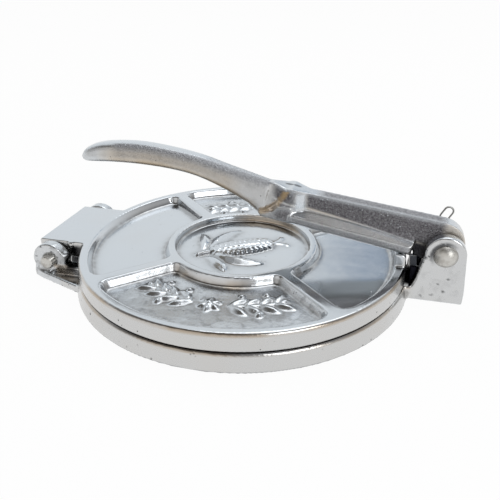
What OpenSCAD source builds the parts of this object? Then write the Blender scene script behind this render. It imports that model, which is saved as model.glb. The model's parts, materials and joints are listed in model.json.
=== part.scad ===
// Cast-iron tortilla press: a base plate, a hinged lid and a lever that bears down on the lid.
// Millimetres. +Z is up, z = 0 is the table, and the origin is under the centre of the plates.
// +X runs from the lid's hinge to the lever's clevis, and both pivot pins lie along Y.

/* [Plates] */
// Diameter of the lid at its top edge
plate_d = 190; // [150:1:240]
// Thickness of the base plate at its edge
base_t = 10; // [9:0.5:14]
// Thickness of the lid at its edge
lid_t = 10; // [8:0.5:14]
// Gap left between the two pressing faces when closed
seam_gap = 0.3; // [0.2:0.1:1]
// How far the base flares out from its top edge to the table
base_flare = 2.2; // [0.5:0.1:4]
// How far the lid's wall flares out from its top edge to the seam
lid_flare = 0.5; // [0.2:0.1:2]
// Bevel round the top edge of the base
base_bevel = 1.2; // [0.5:0.1:2]
// Bevel round the top edge of the lid
lid_bevel = 1; // [0.5:0.1:2]

/* [Lid pattern] */
// Width of the flat rim
rim_w = 5; // [3:0.5:8]
// Depth of the pockets between the spokes
pocket_depth = 5; // [3:0.5:6]
// Horizontal run of the sloping pocket walls
wall_run = 2.6; // [1:0.1:4]
// Mean radius of the hub ring
hub_r = 42; // [36:0.5:50]
// Width of the hub ring's flat top
hub_w = 4; // [3:0.5:7]
// Depth of the round recess inside the hub ring
hub_depth = 4.5; // [2:0.5:6]
// Width of a spoke's flat top
spoke_w = 6.5; // [4:0.5:10]
// Number of spokes
spoke_count = 4; // [3:1:8]

/* [Underside] */
// Depth of the hollows cast under the base
under_depth = 4; // [2:0.5:5]
// Width of the foot rim under the base
under_rim_w = 9; // [6:0.5:14]
// Radius of the centre pad under the base
under_pad_r = 20; // [12:1:30]
// Width of the ribs under the base
under_rib_w = 8; // [5:0.5:12]

/* [Lid hinge] */
// Distance from the lid's edge to the hinge axis
hinge_offset = 15.5; // [14:0.5:24]
// Diameter of the hinge pin
hinge_pin_d = 7.9; // [5:0.1:9]
// Width of the lid's knuckle along the pin
knuckle_w = 52.8; // [40:0.5:64]
// Radius of the knuckle's rounded back edge
knuckle_r = 13.4; // [12:0.2:14]
// Opening angle at which the lid's flat heel comes down on the table
lid_open_angle = 92; // [70:1:100]
// Thickness of a base ear at the hinge
hinge_ear_t = 7; // [5:0.5:9]
// Radius of a base ear's round head
hinge_ear_r = 10.6; // [9:0.2:11]
// Side clearance between the knuckle and each ear
hinge_side_gap = 0.9; // [0.3:0.1:1.5]
// Height of the low web that carries an ear
bracket_h = 4.6; // [4:0.2:6]
// Width of the rim round the web's pocket
bracket_rim = 2.6; // [1.6:0.2:4]
// Thickness of the floor under the web's pocket
bracket_floor = 1.6; // [1:0.2:3]
// Height of the wall that runs from an ear to the plate's edge
ear_wall_h = 7.4; // [5:0.2:9]
// How far the web flares out beyond the ear where it meets the plate
bracket_flare = 21; // [14:1:30]
// How far the hinge pin stands out of each ear
hinge_pin_proud = 3.5; // [1:0.5:6]

/* [Clevis] */
// Distance from the lid's edge to the lever's pivot axis
pivot_offset = 18.7; // [17.6:0.1:26]
// Height of the lever's pivot axis above the table
pivot_h = 30.8; // [28:0.2:36]
// Clear width between the two clevis ears
clevis_gap = 12; // [10:0.5:16]
// Thickness of a clevis ear
clevis_ear_t = 6.6; // [5:0.1:9]
// Radius of a clevis ear's round head
clevis_ear_r = 10.6; // [9:0.2:12]
// Thickness of the wall that joins the two ears behind the lid's edge
clevis_wall_t = 4.5; // [3:0.1:6]
// Height of the clevis above the table at its foot
clevis_foot_h = 2.5; // [0.5:0.5:5]
// Diameter of the lever pin
lever_pin_d = 7.9; // [6:0.1:9]
// Diameter of the lever pin's domed head
pin_head_d = 12.6; // [11:0.2:16]
// Height of the domed head
pin_head_h = 4.4; // [2.5:0.1:6]

/* [Lever arm] */
// Thickness of the arm's web
web_t = 9; // [6:0.5:9.5]
// Radius of the lever's rounded pivot end
heel_r = 13; // [11:0.2:14]
// How far the centre of that round lies from the pivot axis, towards the grip
heel_forward = 3.2; // [0:0.2:5]
// How far the centre of that round lies above the pivot axis
heel_up = 2.6; // [0:0.2:4]
// Slope of the arm's top edge in degrees
top_slope = 7.6; // [4:0.2:10]
// Slope of the foot's underside in degrees
foot_slope = 9.8; // [7:0.2:13]
// Distance from the pivot axis down to the foot's underside, square to it
foot_drop = 6.6; // [5:0.1:7.5]
// Half width of the foot flange
foot_half_w = 10; // [7:0.5:12]
// Thickness of the foot flange at its edge
foot_t = 5.2; // [3.6:0.2:6.4]
// Rise of the foot flange's top from its edge to the web
foot_crown = 4.1; // [1:0.1:4.4]
// Gap between the clevis ears and the near end of the foot
foot_clearance = 5.8; // [3:0.2:9]
// Distance from the pivot axis to the middle of the junction block
block_reach = 87.4; // [84:0.2:96]
// Length of the junction block
block_len = 7.6; // [5:0.2:12]
// Half width of the junction block
block_half_w = 8; // [6:0.5:9.5]
// Length of the shoulder between the block and the arm's web
shoulder_len = 9.5; // [6:0.5:14]
// Height of the junction block's top above the pivot axis
block_h = 27.6; // [26:0.2:30]

/* [Grip] */
// Length of the hollowed neck between the junction block and the grip
neck_len = 5.4; // [4.4:0.2:8]
// Half width of the neck at its narrowest
neck_half_w = 5.4; // [4:0.2:6]
// Length of the grip, from the neck to its tip
grip_len = 115.6; // [80:0.2:150]
// Width of the grip across its underside
grip_w = 17.4; // [14:0.2:24]
// Height of the grip at its middle
grip_h = 11.3; // [9:0.1:15]
// Height of the grip's crest above the junction block's top
grip_rise = 18.7; // [8:0.1:26]

/* [Press pad] */
// Distance from the lid's edge in to the middle of the press pad
pad_inset = 3.8; // [2.4:0.1:5]
// Length of the press pad along the lever
pad_len = 6; // [4:0.5:7]
// Half width of the press pad
pad_half_w = 10; // [6:0.5:12]
// Gap between the press pad and the lever's foot
pad_gap = 0.3; // [0.2:0.1:1]

/* [Cotter pin] */
// Diameter of the cotter pin's doubled shank
cotter_d = 1.8; // [1.6:0.1:2.4]
// Width of the cotter pin's eye
cotter_eye_w = 5.8; // [5:0.2:8]
// Length of the cotter pin's eye
cotter_eye_len = 9.4; // [7:0.2:12]
// Length of the cotter pin's legs below the pin
cotter_tail = 6; // [3:0.5:9]

/* [Fits] */
// Running clearance round a pin, on the radius
pin_clearance = 0.1; // [0.05:0.01:0.1]
// Clearance round the cotter pin, on the radius
cotter_clearance = 0.1; // [0.05:0.01:0.3]
// Clearance between the knuckle and the table at every angle of the lid
table_gap = 0.3; // [0.2:0.1:1]

/* [Hidden] */
$fn = 96;

// Heights of the faces of the two plates
lid_low_z = base_t + seam_gap;
lid_top_z = lid_low_z + lid_t;
seam_z = base_t + seam_gap / 2;
// Radii of the plates
lid_r = plate_d / 2;
base_r = lid_r + lid_flare;
foot_r = base_r + base_flare;

// Hinge places, all taken from the pin and the knuckle
hinge_ear_in = knuckle_w / 2 + hinge_side_gap;
hinge_ear_out = hinge_ear_in + hinge_ear_t;
hinge_hole_r = hinge_pin_d / 2 + pin_clearance;
barrel_r = seam_z - table_gap;
heel_relief = 0.25;
hinge_reach = lid_r + hinge_offset;
hole_mouth_r = hinge_hole_r + 1;
hole_mouth_depth = 1.2;
bracket_back_x = -hinge_reach - hinge_ear_r + 0.4;
bracket_root = 12;
pocket_back_x = -hinge_reach + 1.4;

// Clevis places
clevis_out = clevis_gap / 2 + clevis_ear_t;
clevis_hole_r = lever_pin_d / 2 + pin_clearance;
pivot_reach = lid_r + pivot_offset;
clevis_toe_x = pivot_reach + clevis_ear_r + 1.8;
clevis_heel_x = base_r + 3.2;
clevis_wall_x = base_r + 1.3;
clevis_wall_h = lid_top_z - 0.3;
clevis_root = 14;

// Lever frame: u runs from the pivot axis towards the grip, w runs up
near_u = block_reach - block_len / 2;
neck_u = block_reach + block_len / 2;
grip_u = neck_u + neck_len;
foot_end_u = grip_u + 6;
web_seat = 3;
function foot_w(u) = u * tan(foot_slope) - foot_drop / cos(foot_slope);
function top_w(u) = heel_up + heel_r / cos(top_slope) + (u - heel_forward) * tan(top_slope);
foot_start = clevis_ear_r + foot_clearance;
pad_reach = lid_r - pad_inset;
pad_u = pivot_reach - pad_reach;
pad_root = 3;

// Cotter pin places
cotter_y = clevis_out + cotter_d / 2 + cotter_clearance;
lever_pin_end = 2.2;
lever_pin_tail = cotter_y + cotter_d / 2 + lever_pin_end;
cotter_wire_r = cotter_d / 4 + 0.05;

// A ring about Z with a flat top, sloping walls and a wide root
module sloped_ring(mean_r, flat_w, z_root, z_flat, inner_run, outer_run) {
    rotate_extrude()
        polygon([
            [mean_r - flat_w / 2 - inner_run, z_root],
            [mean_r + flat_w / 2 + outer_run, z_root],
            [mean_r + flat_w / 2, z_flat],
            [mean_r - flat_w / 2, z_flat]
        ]);
}

// A straight bar along +X with sloping walls, for one spoke
module sloped_bar(from_x, to_x, flat_w, z_root, z_flat, run) {
    translate([from_x, 0, 0])
        rotate([90, 0, 90])
            linear_extrude(height = to_x - from_x)
                polygon([
                    [-flat_w / 2 - run, z_root],
                    [flat_w / 2 + run, z_root],
                    [flat_w / 2, z_flat],
                    [-flat_w / 2, z_flat]
                ]);
}

// A pin bore along Y through everything
module bore_y(x, z, r, half_len) {
    translate([x, half_len, z])
        rotate([90, 0, 0])
            cylinder(r = r, h = 2 * half_len);
}

// A flat outline in X and Z, given a thickness along Y between two values
module slab_y(y_from, y_to) {
    translate([0, y_to, 0])
        rotate([90, 0, 0])
            linear_extrude(height = y_to - y_from)
                children();
}

// Round slab of the base with its bevelled top edge and flared wall
module base_disc() {
    rotate_extrude()
        polygon([
            [0, 0],
            [foot_r - 0.4, 0],
            [foot_r, 0.6],
            [base_r + base_bevel * 0.4, base_t - base_bevel],
            [base_r - base_bevel * 0.6, base_t],
            [0, base_t]
        ]);
}

// Hollows under the base: a ring less the ribs and the centre pad
module base_hollows() {
    difference() {
        translate([0, 0, -1])
            cylinder(r = foot_r - under_rim_w, h = under_depth + 1);
        translate([0, 0, -2])
            cylinder(r = under_pad_r, h = under_depth + 4);
        for (i = [0 : spoke_count - 1])
            rotate(45 + i * 360 / spoke_count)
                translate([0, -under_rib_w / 2, -2])
                    cube([foot_r, under_rib_w, under_depth + 4]);
    }
}

// Plan of one hinge bracket, from the ear out to well inside the plate; inset draws its edge in
module bracket_plan(inset) {
    root_x = -base_r + bracket_root;
    tip_y = hinge_ear_out - inset;
    flare_y = tip_y + bracket_flare;
    polygon([
        [bracket_back_x + inset, hinge_ear_in],
        [bracket_back_x + inset, tip_y + 0.6],
        [bracket_back_x + 4, tip_y + 3],
        [root_x, tip_y + bracket_flare * 0.72],
        [root_x + bracket_root / 2, flare_y],
        [root_x + bracket_root * 1.5, flare_y],
        [root_x + bracket_root * 1.5, hinge_ear_in]
    ]);
}

// One hinge bracket at +Y: the flared web with its pocket, and the round ear on it
module hinge_bracket() {
    difference() {
        linear_extrude(height = bracket_h)
            bracket_plan(0);
        translate([0, 0, bracket_floor])
            linear_extrude(height = bracket_h)
                difference() {
                    bracket_plan(bracket_rim);
                    translate([-plate_d, 0])
                        square([plate_d, hinge_ear_out]);
                    translate([bracket_back_x, 0])
                        square([pocket_back_x - bracket_back_x, plate_d]);
                }
    }
    slab_y(hinge_ear_in, hinge_ear_out) {
        intersection() {
            translate([-hinge_reach, seam_z])
                circle(r = hinge_ear_r);
            translate([-hinge_reach - hinge_ear_r, 0])
                square([2 * hinge_ear_r, seam_z + hinge_ear_r]);
        }
        translate([bracket_back_x, 0])
            square([bracket_root - base_r - bracket_back_x, ear_wall_h]);
    }
}

// Both hinge brackets, bored for the pin with an open cast mouth at the outer face
module hinge_brackets() {
    difference() {
        for (side = [0, 1])
            mirror([0, side, 0])
                hinge_bracket();
        bore_y(-hinge_reach, seam_z, hinge_hole_r, hinge_ear_out + 1);
        for (side = [0, 1])
            mirror([0, side, 0])
                translate([-hinge_reach, hinge_ear_out + 0.01, seam_z])
                    rotate([90, 0, 0])
                        cylinder(r1 = hole_mouth_r, r2 = hinge_hole_r, h = hole_mouth_depth);
    }
}

// The clevis: two ears over a solid foot, joined to the plate's edge
module clevis() {
    difference() {
        slab_y(-clevis_out, clevis_out) {
            translate([pivot_reach, pivot_h])
                circle(r = clevis_ear_r);
            polygon([
                [base_r - clevis_root, clevis_foot_h],
                [clevis_toe_x, clevis_foot_h],
                [clevis_toe_x, base_t],
                [pivot_reach + clevis_ear_r, pivot_h],
                [pivot_reach - clevis_ear_r, pivot_h - 1],
                [clevis_heel_x + 1.6, base_t + 6],
                [clevis_heel_x, base_t + 1.6],
                [clevis_heel_x - 0.8, base_t],
                [base_r - clevis_root, base_t]
            ]);
        }
        translate([base_r, -clevis_gap / 2, base_t])
            cube([plate_d, clevis_gap, plate_d]);
        bore_y(pivot_reach, pivot_h, clevis_hole_r, clevis_out + 1);
    }
    translate([clevis_wall_x, -clevis_gap / 2 - 1, base_t - 1])
        cube([clevis_wall_t, clevis_gap + 2, clevis_wall_h - base_t + 1]);
}

// Base casting: pressing plate, hinge brackets and clevis in one piece
module base_plate() {
    color([0.74, 0.73, 0.71])
        union() {
            difference() {
                base_disc();
                base_hollows();
            }
            hinge_brackets();
            clevis();
        }
}

// Round slab of the lid with its wheel pattern
module lid_disc() {
    floor_z = lid_top_z - pocket_depth;
    hub_floor_z = lid_top_z - hub_depth;
    difference() {
        union() {
            rotate_extrude()
                polygon([
                    [0, lid_low_z],
                    [lid_r + lid_flare - 0.6, lid_low_z],
                    [lid_r + lid_flare, lid_low_z + 0.6],
                    [lid_r, lid_top_z - lid_bevel],
                    [lid_r - lid_bevel, lid_top_z],
                    [lid_r - rim_w, lid_top_z],
                    [lid_r - rim_w - wall_run, floor_z],
                    [0, floor_z]
                ]);
            sloped_ring(hub_r, hub_w, floor_z - 1, lid_top_z, 0, wall_run);
            intersection() {
                for (i = [0 : spoke_count - 1])
                    rotate(45 + i * 360 / spoke_count)
                        sloped_bar(hub_r, lid_r, spoke_w, floor_z - 1, lid_top_z, wall_run);
                cylinder(r = lid_r - rim_w / 2, h = lid_top_z);
            }
            cylinder(r = hub_r, h = hub_floor_z);
        }
        translate([0, 0, -1])
            cylinder(r = lid_r, h = lid_low_z + 1);
    }
}

// Side outline of the knuckle about the hinge axis: a barrel, with a block above and behind it
// that is level with the lid's top and has a flat heel for the lid to stand open on
module knuckle_outline() {
    top = lid_top_z - seam_z;
    circle(r = barrel_r);
    intersection() {
        circle(r = knuckle_r);
        translate([-knuckle_r, -knuckle_r])
            square([knuckle_r, knuckle_r + top]);
        rotate(270 - lid_open_angle)
            translate([-knuckle_r, -2 * knuckle_r])
                square([knuckle_r + barrel_r - heel_relief, 2 * knuckle_r]);
    }
}

// Knuckle of the lid, bored for the hinge pin, and the block that joins it to the disc
module knuckle() {
    difference() {
        slab_y(-knuckle_w / 2, knuckle_w / 2) {
            translate([-hinge_reach, seam_z])
                knuckle_outline();
            translate([-hinge_reach, lid_low_z])
                square([hinge_reach - lid_r + rim_w, lid_t]);
        }
        translate([0, 0, -1])
            cylinder(r = base_r + 1, h = lid_low_z + 1);
        bore_y(-hinge_reach, seam_z, hinge_pin_d / 2, knuckle_w);
    }
}

// Raised pad on the lid's rim that the lever's foot presses; its top follows the foot
module press_pad() {
    top_mid = pivot_h + foot_w(pad_u) - pad_gap / cos(foot_slope);
    rise = pad_len / 2 * tan(foot_slope);
    edge_drop = 0.9;
    slab_y(-pad_half_w, pad_half_w)
        polygon([
            [pad_reach - pad_len / 2, lid_top_z - pad_root],
            [pad_reach + pad_len / 2, lid_top_z - pad_root],
            [pad_reach + pad_len / 2, top_mid - rise - edge_drop],
            [pad_reach + pad_len / 4, top_mid - rise / 2 - edge_drop / 6],
            [pad_reach, top_mid],
            [pad_reach - pad_len / 4, top_mid + rise / 2 - edge_drop / 6],
            [pad_reach - pad_len / 2, top_mid + rise - edge_drop]
        ]);
}

// Lid casting: upper plate, knuckle and press pad in one piece
module lid_plate() {
    color([0.80, 0.82, 0.84])
        union() {
            lid_disc();
            knuckle();
            press_pad();
        }
}

// Side outline of the arm's web, from the rounded pivot end to the junction block
module web_outline() {
    translate([heel_forward, heel_up])
        circle(r = heel_r);
    polygon([
        [heel_forward, heel_up],
        [heel_forward - heel_r * sin(top_slope), heel_up + heel_r * cos(top_slope)],
        [block_reach, top_w(block_reach)],
        [block_reach, foot_w(block_reach) + web_seat],
        [foot_start, foot_w(foot_start) + web_seat]
    ]);
}

// Foot flange, swept along the underside of the arm
module foot_flange() {
    start_s = foot_start / cos(foot_slope);
    end_s = near_u / cos(foot_slope) + 1;
    low_bevel = 1.8;
    high_bevel = 0.4;
    end_round = foot_half_w / 3;
    rotate([0, -foot_slope, 0])
        translate([start_s, 0, -foot_drop])
            intersection() {
                rotate([90, 0, 90])
                    linear_extrude(height = end_s - start_s)
                        polygon([
                            [-foot_half_w + low_bevel, 0],
                            [foot_half_w - low_bevel, 0],
                            [foot_half_w, low_bevel],
                            [foot_half_w, foot_t - high_bevel],
                            [foot_half_w - high_bevel, foot_t],
                            [web_t / 2, foot_t + foot_crown],
                            [-web_t / 2, foot_t + foot_crown],
                            [-foot_half_w + high_bevel, foot_t],
                            [-foot_half_w, foot_t - high_bevel],
                            [-foot_half_w, low_bevel]
                        ]);
                translate([0, 0, -1])
                    linear_extrude(height = foot_t + foot_crown + 2)
                        union() {
                            for (side = [-1, 1])
                                translate([end_round, side * (foot_half_w - end_round)])
                                    circle(r = end_round);
                            translate([0, end_round - foot_half_w])
                                square([end_s, 2 * (foot_half_w - end_round)]);
                            translate([end_round, -foot_half_w - 1])
                                square([end_s, 2 * foot_half_w + 2]);
                        }
            }
}

// Side outline of the cheek: the junction block, whose far edge is scooped out towards the
// grip and runs down into a toe on the foot
module cheek_outline() {
    toe_h = foot_t / 2;
    polygon([
        [near_u, foot_w(near_u)],
        [foot_end_u - toe_h / 2, foot_w(foot_end_u)],
        [foot_end_u, foot_w(foot_end_u) + toe_h],
        [neck_u + 5.4, foot_w(neck_u + 5.4) + toe_h + 1.5],
        [neck_u + 2.6, foot_w(neck_u) + toe_h + 2.8],
        [neck_u + 0.9, foot_w(neck_u) + block_len],
        [neck_u - 1.6, block_h * 0.82],
        [neck_u - 3.6, block_h - 0.6],
        [neck_u - 4, block_h],
        [near_u, block_h]
    ]);
}

// Junction block between the arm and the grip, wider where it meets the foot
module junction_block() {
    draft = foot_half_w - block_half_w;
    slab_y(-block_half_w, block_half_w)
        cheek_outline();
    slab_y(-block_half_w - draft / 2, block_half_w + draft / 2)
        intersection() {
            cheek_outline();
            translate([near_u, 0])
                square([foot_end_u, foot_w(neck_u) + block_len]);
        }
}

// Shoulder that falls away from the block to the arm's web
module shoulder() {
    low_w = foot_w(near_u) + foot_t;
    end_u = near_u - shoulder_len;
    hull() {
        translate([near_u, -block_half_w, low_w])
            cube([1, 2 * block_half_w, block_h - low_w]);
        translate([end_u, -web_t / 2 + 0.1, low_w])
            cube([1, web_t - 0.2, top_w(end_u) - low_w - 0.2]);
    }
}

// Neck profile, one row a section: distance beyond the block's near face, rise of the crest
// over the block's top, and half widths at the foot and at the crest as shares of neck_half_w
NECK = [
    [1.5, -0.05, 1.42, 1.42],
    [4.5, 0.30, 1.40, 1.38],
    [7.0, 0.80, 1.30, 1.10],
    [9.5, 1.30, 1.20, 0.80],
    [12.0, 1.70, 1.20, 0.60],
    [16.0, 1.70, 1.30, 0.60]
];
neck_squareness = 0.22;

// Neck between the block and the grip, hollowed like a saddle
module neck() {
    skin([
        for (s = NECK)
            let (u = near_u + s[0], low_w = foot_w(u) + foot_t / 3, high_w = block_h + s[1])
            [for (j = [0 : section_points - 1])
                let (a = 360 * (j + 0.5) / section_points,
                     rise = power(sin(a), neck_squareness),
                     half_w = neck_half_w * (s[2] + (s[3] - s[2]) * (rise + 1) / 2))
                [u,
                 half_w * power(cos(a), neck_squareness),
                 (low_w + high_w) / 2 + (high_w - low_w) / 2 * rise]]
    ]);
}

// Grip profile, one row a station: share of the length, then crest, height and width
// as shares of grip_rise, grip_h and grip_w
GRIP = [
    [0.00, 0.08, 1.74, 0.80],
    [0.012, 0.11, 1.79, 0.88],
    [0.10, 0.26, 1.49, 0.92],
    [0.22, 0.46, 1.16, 0.95],
    [0.36, 0.71, 1.00, 0.98],
    [0.50, 0.87, 0.99, 1.00],
    [0.66, 0.98, 1.06, 1.00],
    [0.80, 0.96, 1.02, 1.00],
    [0.90, 0.87, 0.92, 0.94],
    [0.965, 0.70, 0.68, 0.72],
    [1.00, 0.46, 0.18, 0.26]
];
grip_lean = 4.6;
grip_steps = 3;
section_points = 20;

// Catmull-Rom blend of four rows at t between the middle two
function blend(a, b, c, d, t) =
    0.5 * (2 * b + (c - a) * t + (2 * a - 5 * b + 4 * c - d) * t * t
        + (3 * b - a - 3 * c + d) * t * t * t);
function row(i) = GRIP[max(0, min(len(GRIP) - 1, i))];
function station(k) =
    let (i = min(len(GRIP) - 2, floor(k / grip_steps)), t = k / grip_steps - i)
    blend(row(i - 1), row(i), row(i + 1), row(i + 2), t);
function power(v, p) = sign(v) * pow(abs(v), p);

// Closed section of the grip: a flat crest, sides that spread downwards and a rounded keel
function grip_section(s) = [
    for (j = [0 : section_points - 1])
        let (a = 360 * (j + 0.5) / section_points,
             rise = power(sin(a), 0.62),
             spread = power(cos(a), 0.62) * (1 - 0.19 * (rise + 1)),
             h = s[2] * grip_h,
             lean = grip_lean * max(0, 1 - s[0] / 0.1) * (1 - rise) / 2)
        [grip_u + s[0] * grip_len + lean,
         s[3] * grip_w / 2 * spread * 1.06,
         block_h + s[1] * grip_rise - h / 2 + rise * h / 2]
];

// Closed skin through a list of sections that all have the same number of points
module skin(sections) {
    count = len(sections);
    side = len(sections[0]);
    points = [for (ring = sections) each ring];
    walls = [
        for (i = [0 : count - 2], j = [0 : side - 1])
            let (k = (j + 1) % side, a = i * side, b = a + side)
            each [[a + j, b + j, b + k], [a + j, b + k, a + k]]
    ];
    near_cap = [[for (j = [0 : side - 1]) j]];
    far_cap = [[for (j = [side - 1 : -1 : 0]) (count - 1) * side + j]];
    polyhedron(points = points, faces = concat(walls, near_cap, far_cap));
}

// Grip, lofted through its sections
module grip() {
    skin([for (k = [0 : grip_steps * (len(GRIP) - 1)]) grip_section(station(k))]);
}

// Lever casting in its own frame, before it is turned to run towards the hinge
module lever_casting() {
    difference() {
        union() {
            slab_y(-web_t / 2, web_t / 2)
                web_outline();
            foot_flange();
            junction_block();
            shoulder();
            neck();
            grip();
        }
        bore_y(0, 0, clevis_hole_r, web_t);
    }
}

// Lever: arm, foot, junction block and grip in one casting
module lever() {
    color([0.76, 0.74, 0.71])
        translate([pivot_reach, 0, pivot_h])
            mirror([1, 0, 0])
                lever_casting();
}

// Plain rod with a small chamfer at each end, along Y
module rod_y(d, y_from, y_to, chamfer) {
    rotate([-90, 0, 0])
        rotate_extrude()
            polygon([
                [0, y_from],
                [d / 2 - chamfer, y_from],
                [d / 2, y_from + chamfer],
                [d / 2, y_to - chamfer],
                [d / 2 - chamfer, y_to],
                [0, y_to]
            ]);
}

// Hinge pin, pressed into the lid's knuckle and turning in the two base ears
module hinge_pin() {
    half = hinge_ear_out + hinge_pin_proud;
    color([0.62, 0.61, 0.59])
        translate([-hinge_reach, 0, seam_z])
            rod_y(hinge_pin_d, -half, half, 0.8);
}

// Lever pin: domed head against the front ear, and a cross hole for the cotter pin
module lever_pin() {
    dome_r = (pin_head_h * pin_head_h + pin_head_d * pin_head_d / 4) / (2 * pin_head_h);
    front = -clevis_out;
    color([0.70, 0.69, 0.67])
        translate([pivot_reach, 0, pivot_h])
            difference() {
                union() {
                    rod_y(lever_pin_d, front - 0.5, lever_pin_tail, 0.5);
                    intersection() {
                        translate([0, front - pin_head_h + dome_r, 0])
                            sphere(r = dome_r);
                        translate([0, front, 0])
                            rotate([90, 0, 0])
                                cylinder(r = pin_head_d, h = pin_head_h + 1);
                    }
                }
                translate([0, cotter_y, -lever_pin_d])
                    cylinder(r = cotter_d / 2 + cotter_clearance, h = 2 * lever_pin_d);
            }
}

// Half ring of wire in the XZ plane, open downwards
module wire_arc(r) {
    rotate([90, 0, 0])
        rotate_extrude(angle = 180)
            translate([r, 0])
                circle(r = cotter_wire_r, $fn = 24);
}

// Cotter pin: a long eye above the lever pin and two legs through it, spread below
module cotter_pin() {
    neck_h = lever_pin_d / 2 + 5;
    eye_r = cotter_eye_w / 2 - cotter_wire_r;
    side_h = cotter_eye_len - cotter_eye_w;
    eye_lean = 28;
    stem_h = 0.8;
    leg_end = -lever_pin_d / 2 - 1;
    color([0.55, 0.55, 0.54])
        translate([pivot_reach, cotter_y, pivot_h]) {
            translate([0, 0, leg_end])
                cylinder(r = cotter_d / 2, h = neck_h - leg_end);
            translate([0, 0, neck_h])
                rotate([0, eye_lean, 0])
                    translate([-eye_r, 0, eye_r]) {
                        translate([0, 0, side_h])
                            wire_arc(eye_r);
                        rotate([0, 180, 0])
                            wire_arc(eye_r);
                        translate([-eye_r, 0, 0])
                            cylinder(r = cotter_wire_r, h = side_h, $fn = 24);
                        translate([eye_r, 0, -eye_r - stem_h])
                            cylinder(r = cotter_wire_r, h = eye_r + stem_h + side_h, $fn = 24);
                    }
            for (side = [-1, 1])
                translate([side * cotter_wire_r * 0.7, 0, leg_end + 0.2])
                    rotate([0, 180 - side * 20, 0])
                        cylinder(r = cotter_wire_r, h = cotter_tail, $fn = 24);
        }
}

base_plate();
lid_plate();
lever();
hinge_pin();
lever_pin();
cotter_pin();
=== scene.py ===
"""Looks of a bright-plated tortilla press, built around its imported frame.

Each casting is a softened copy of its CAD node, as sand casting and tumbling soften a
pattern's edges, with its ornament cast in. The pins are merged copies of theirs. Sizes are
millimetres, but for the lamps' and the floor's, and MM brings them to the scene's metres.
"""

from __future__ import annotations

import json
import logging
import math
from collections.abc import Callable, Iterable
from dataclasses import dataclass
from enum import Enum
from typing import Any

import bmesh
import bpy
import numpy as np
from mathutils import Matrix, Vector

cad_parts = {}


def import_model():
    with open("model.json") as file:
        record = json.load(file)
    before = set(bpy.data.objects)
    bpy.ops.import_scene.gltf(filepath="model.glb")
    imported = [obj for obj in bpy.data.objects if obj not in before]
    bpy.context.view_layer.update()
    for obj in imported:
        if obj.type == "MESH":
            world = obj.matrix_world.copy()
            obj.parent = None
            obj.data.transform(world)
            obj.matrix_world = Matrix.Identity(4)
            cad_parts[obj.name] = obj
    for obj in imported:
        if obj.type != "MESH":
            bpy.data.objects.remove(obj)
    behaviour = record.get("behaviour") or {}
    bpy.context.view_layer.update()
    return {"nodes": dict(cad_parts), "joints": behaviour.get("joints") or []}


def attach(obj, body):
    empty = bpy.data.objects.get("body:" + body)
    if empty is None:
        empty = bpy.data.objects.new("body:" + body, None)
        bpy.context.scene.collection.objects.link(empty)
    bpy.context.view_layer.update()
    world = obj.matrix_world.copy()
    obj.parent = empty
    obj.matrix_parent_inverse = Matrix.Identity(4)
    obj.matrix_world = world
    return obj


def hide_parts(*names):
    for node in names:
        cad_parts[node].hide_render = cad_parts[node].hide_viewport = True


MM = 0.001
TOUCH = 0.01  # millimetres within which two places count as one
LOG = logging.getLogger("tortilla_press")
Colour = Place = Span = tuple[float, float, float]
WHITE: Colour = (1.0, 1.0, 1.0)
Piece = bpy.types.Object


class Body(Enum):
    """The CAD bodies that pieces ride on."""

    BASE = "base"
    LID = "lid"
    LEVER = "lever"


class Mark(Enum):
    """Vertex attributes that tell a finish where it lies on a casting."""

    WALL = "wall"
    HOLLOW = "hollow"
    EDGE = "edge"
    RAW = "raw"
    CAST = "cast"
    # Painted shade in gaps and between parts, with pits and grime
    SHADE_AND_GRIME = "shade_and_grime"
    STAIN = "stain"


# --------------------------------------------------------------------------------------
# Bench: modelling by hand
# --------------------------------------------------------------------------------------


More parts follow.
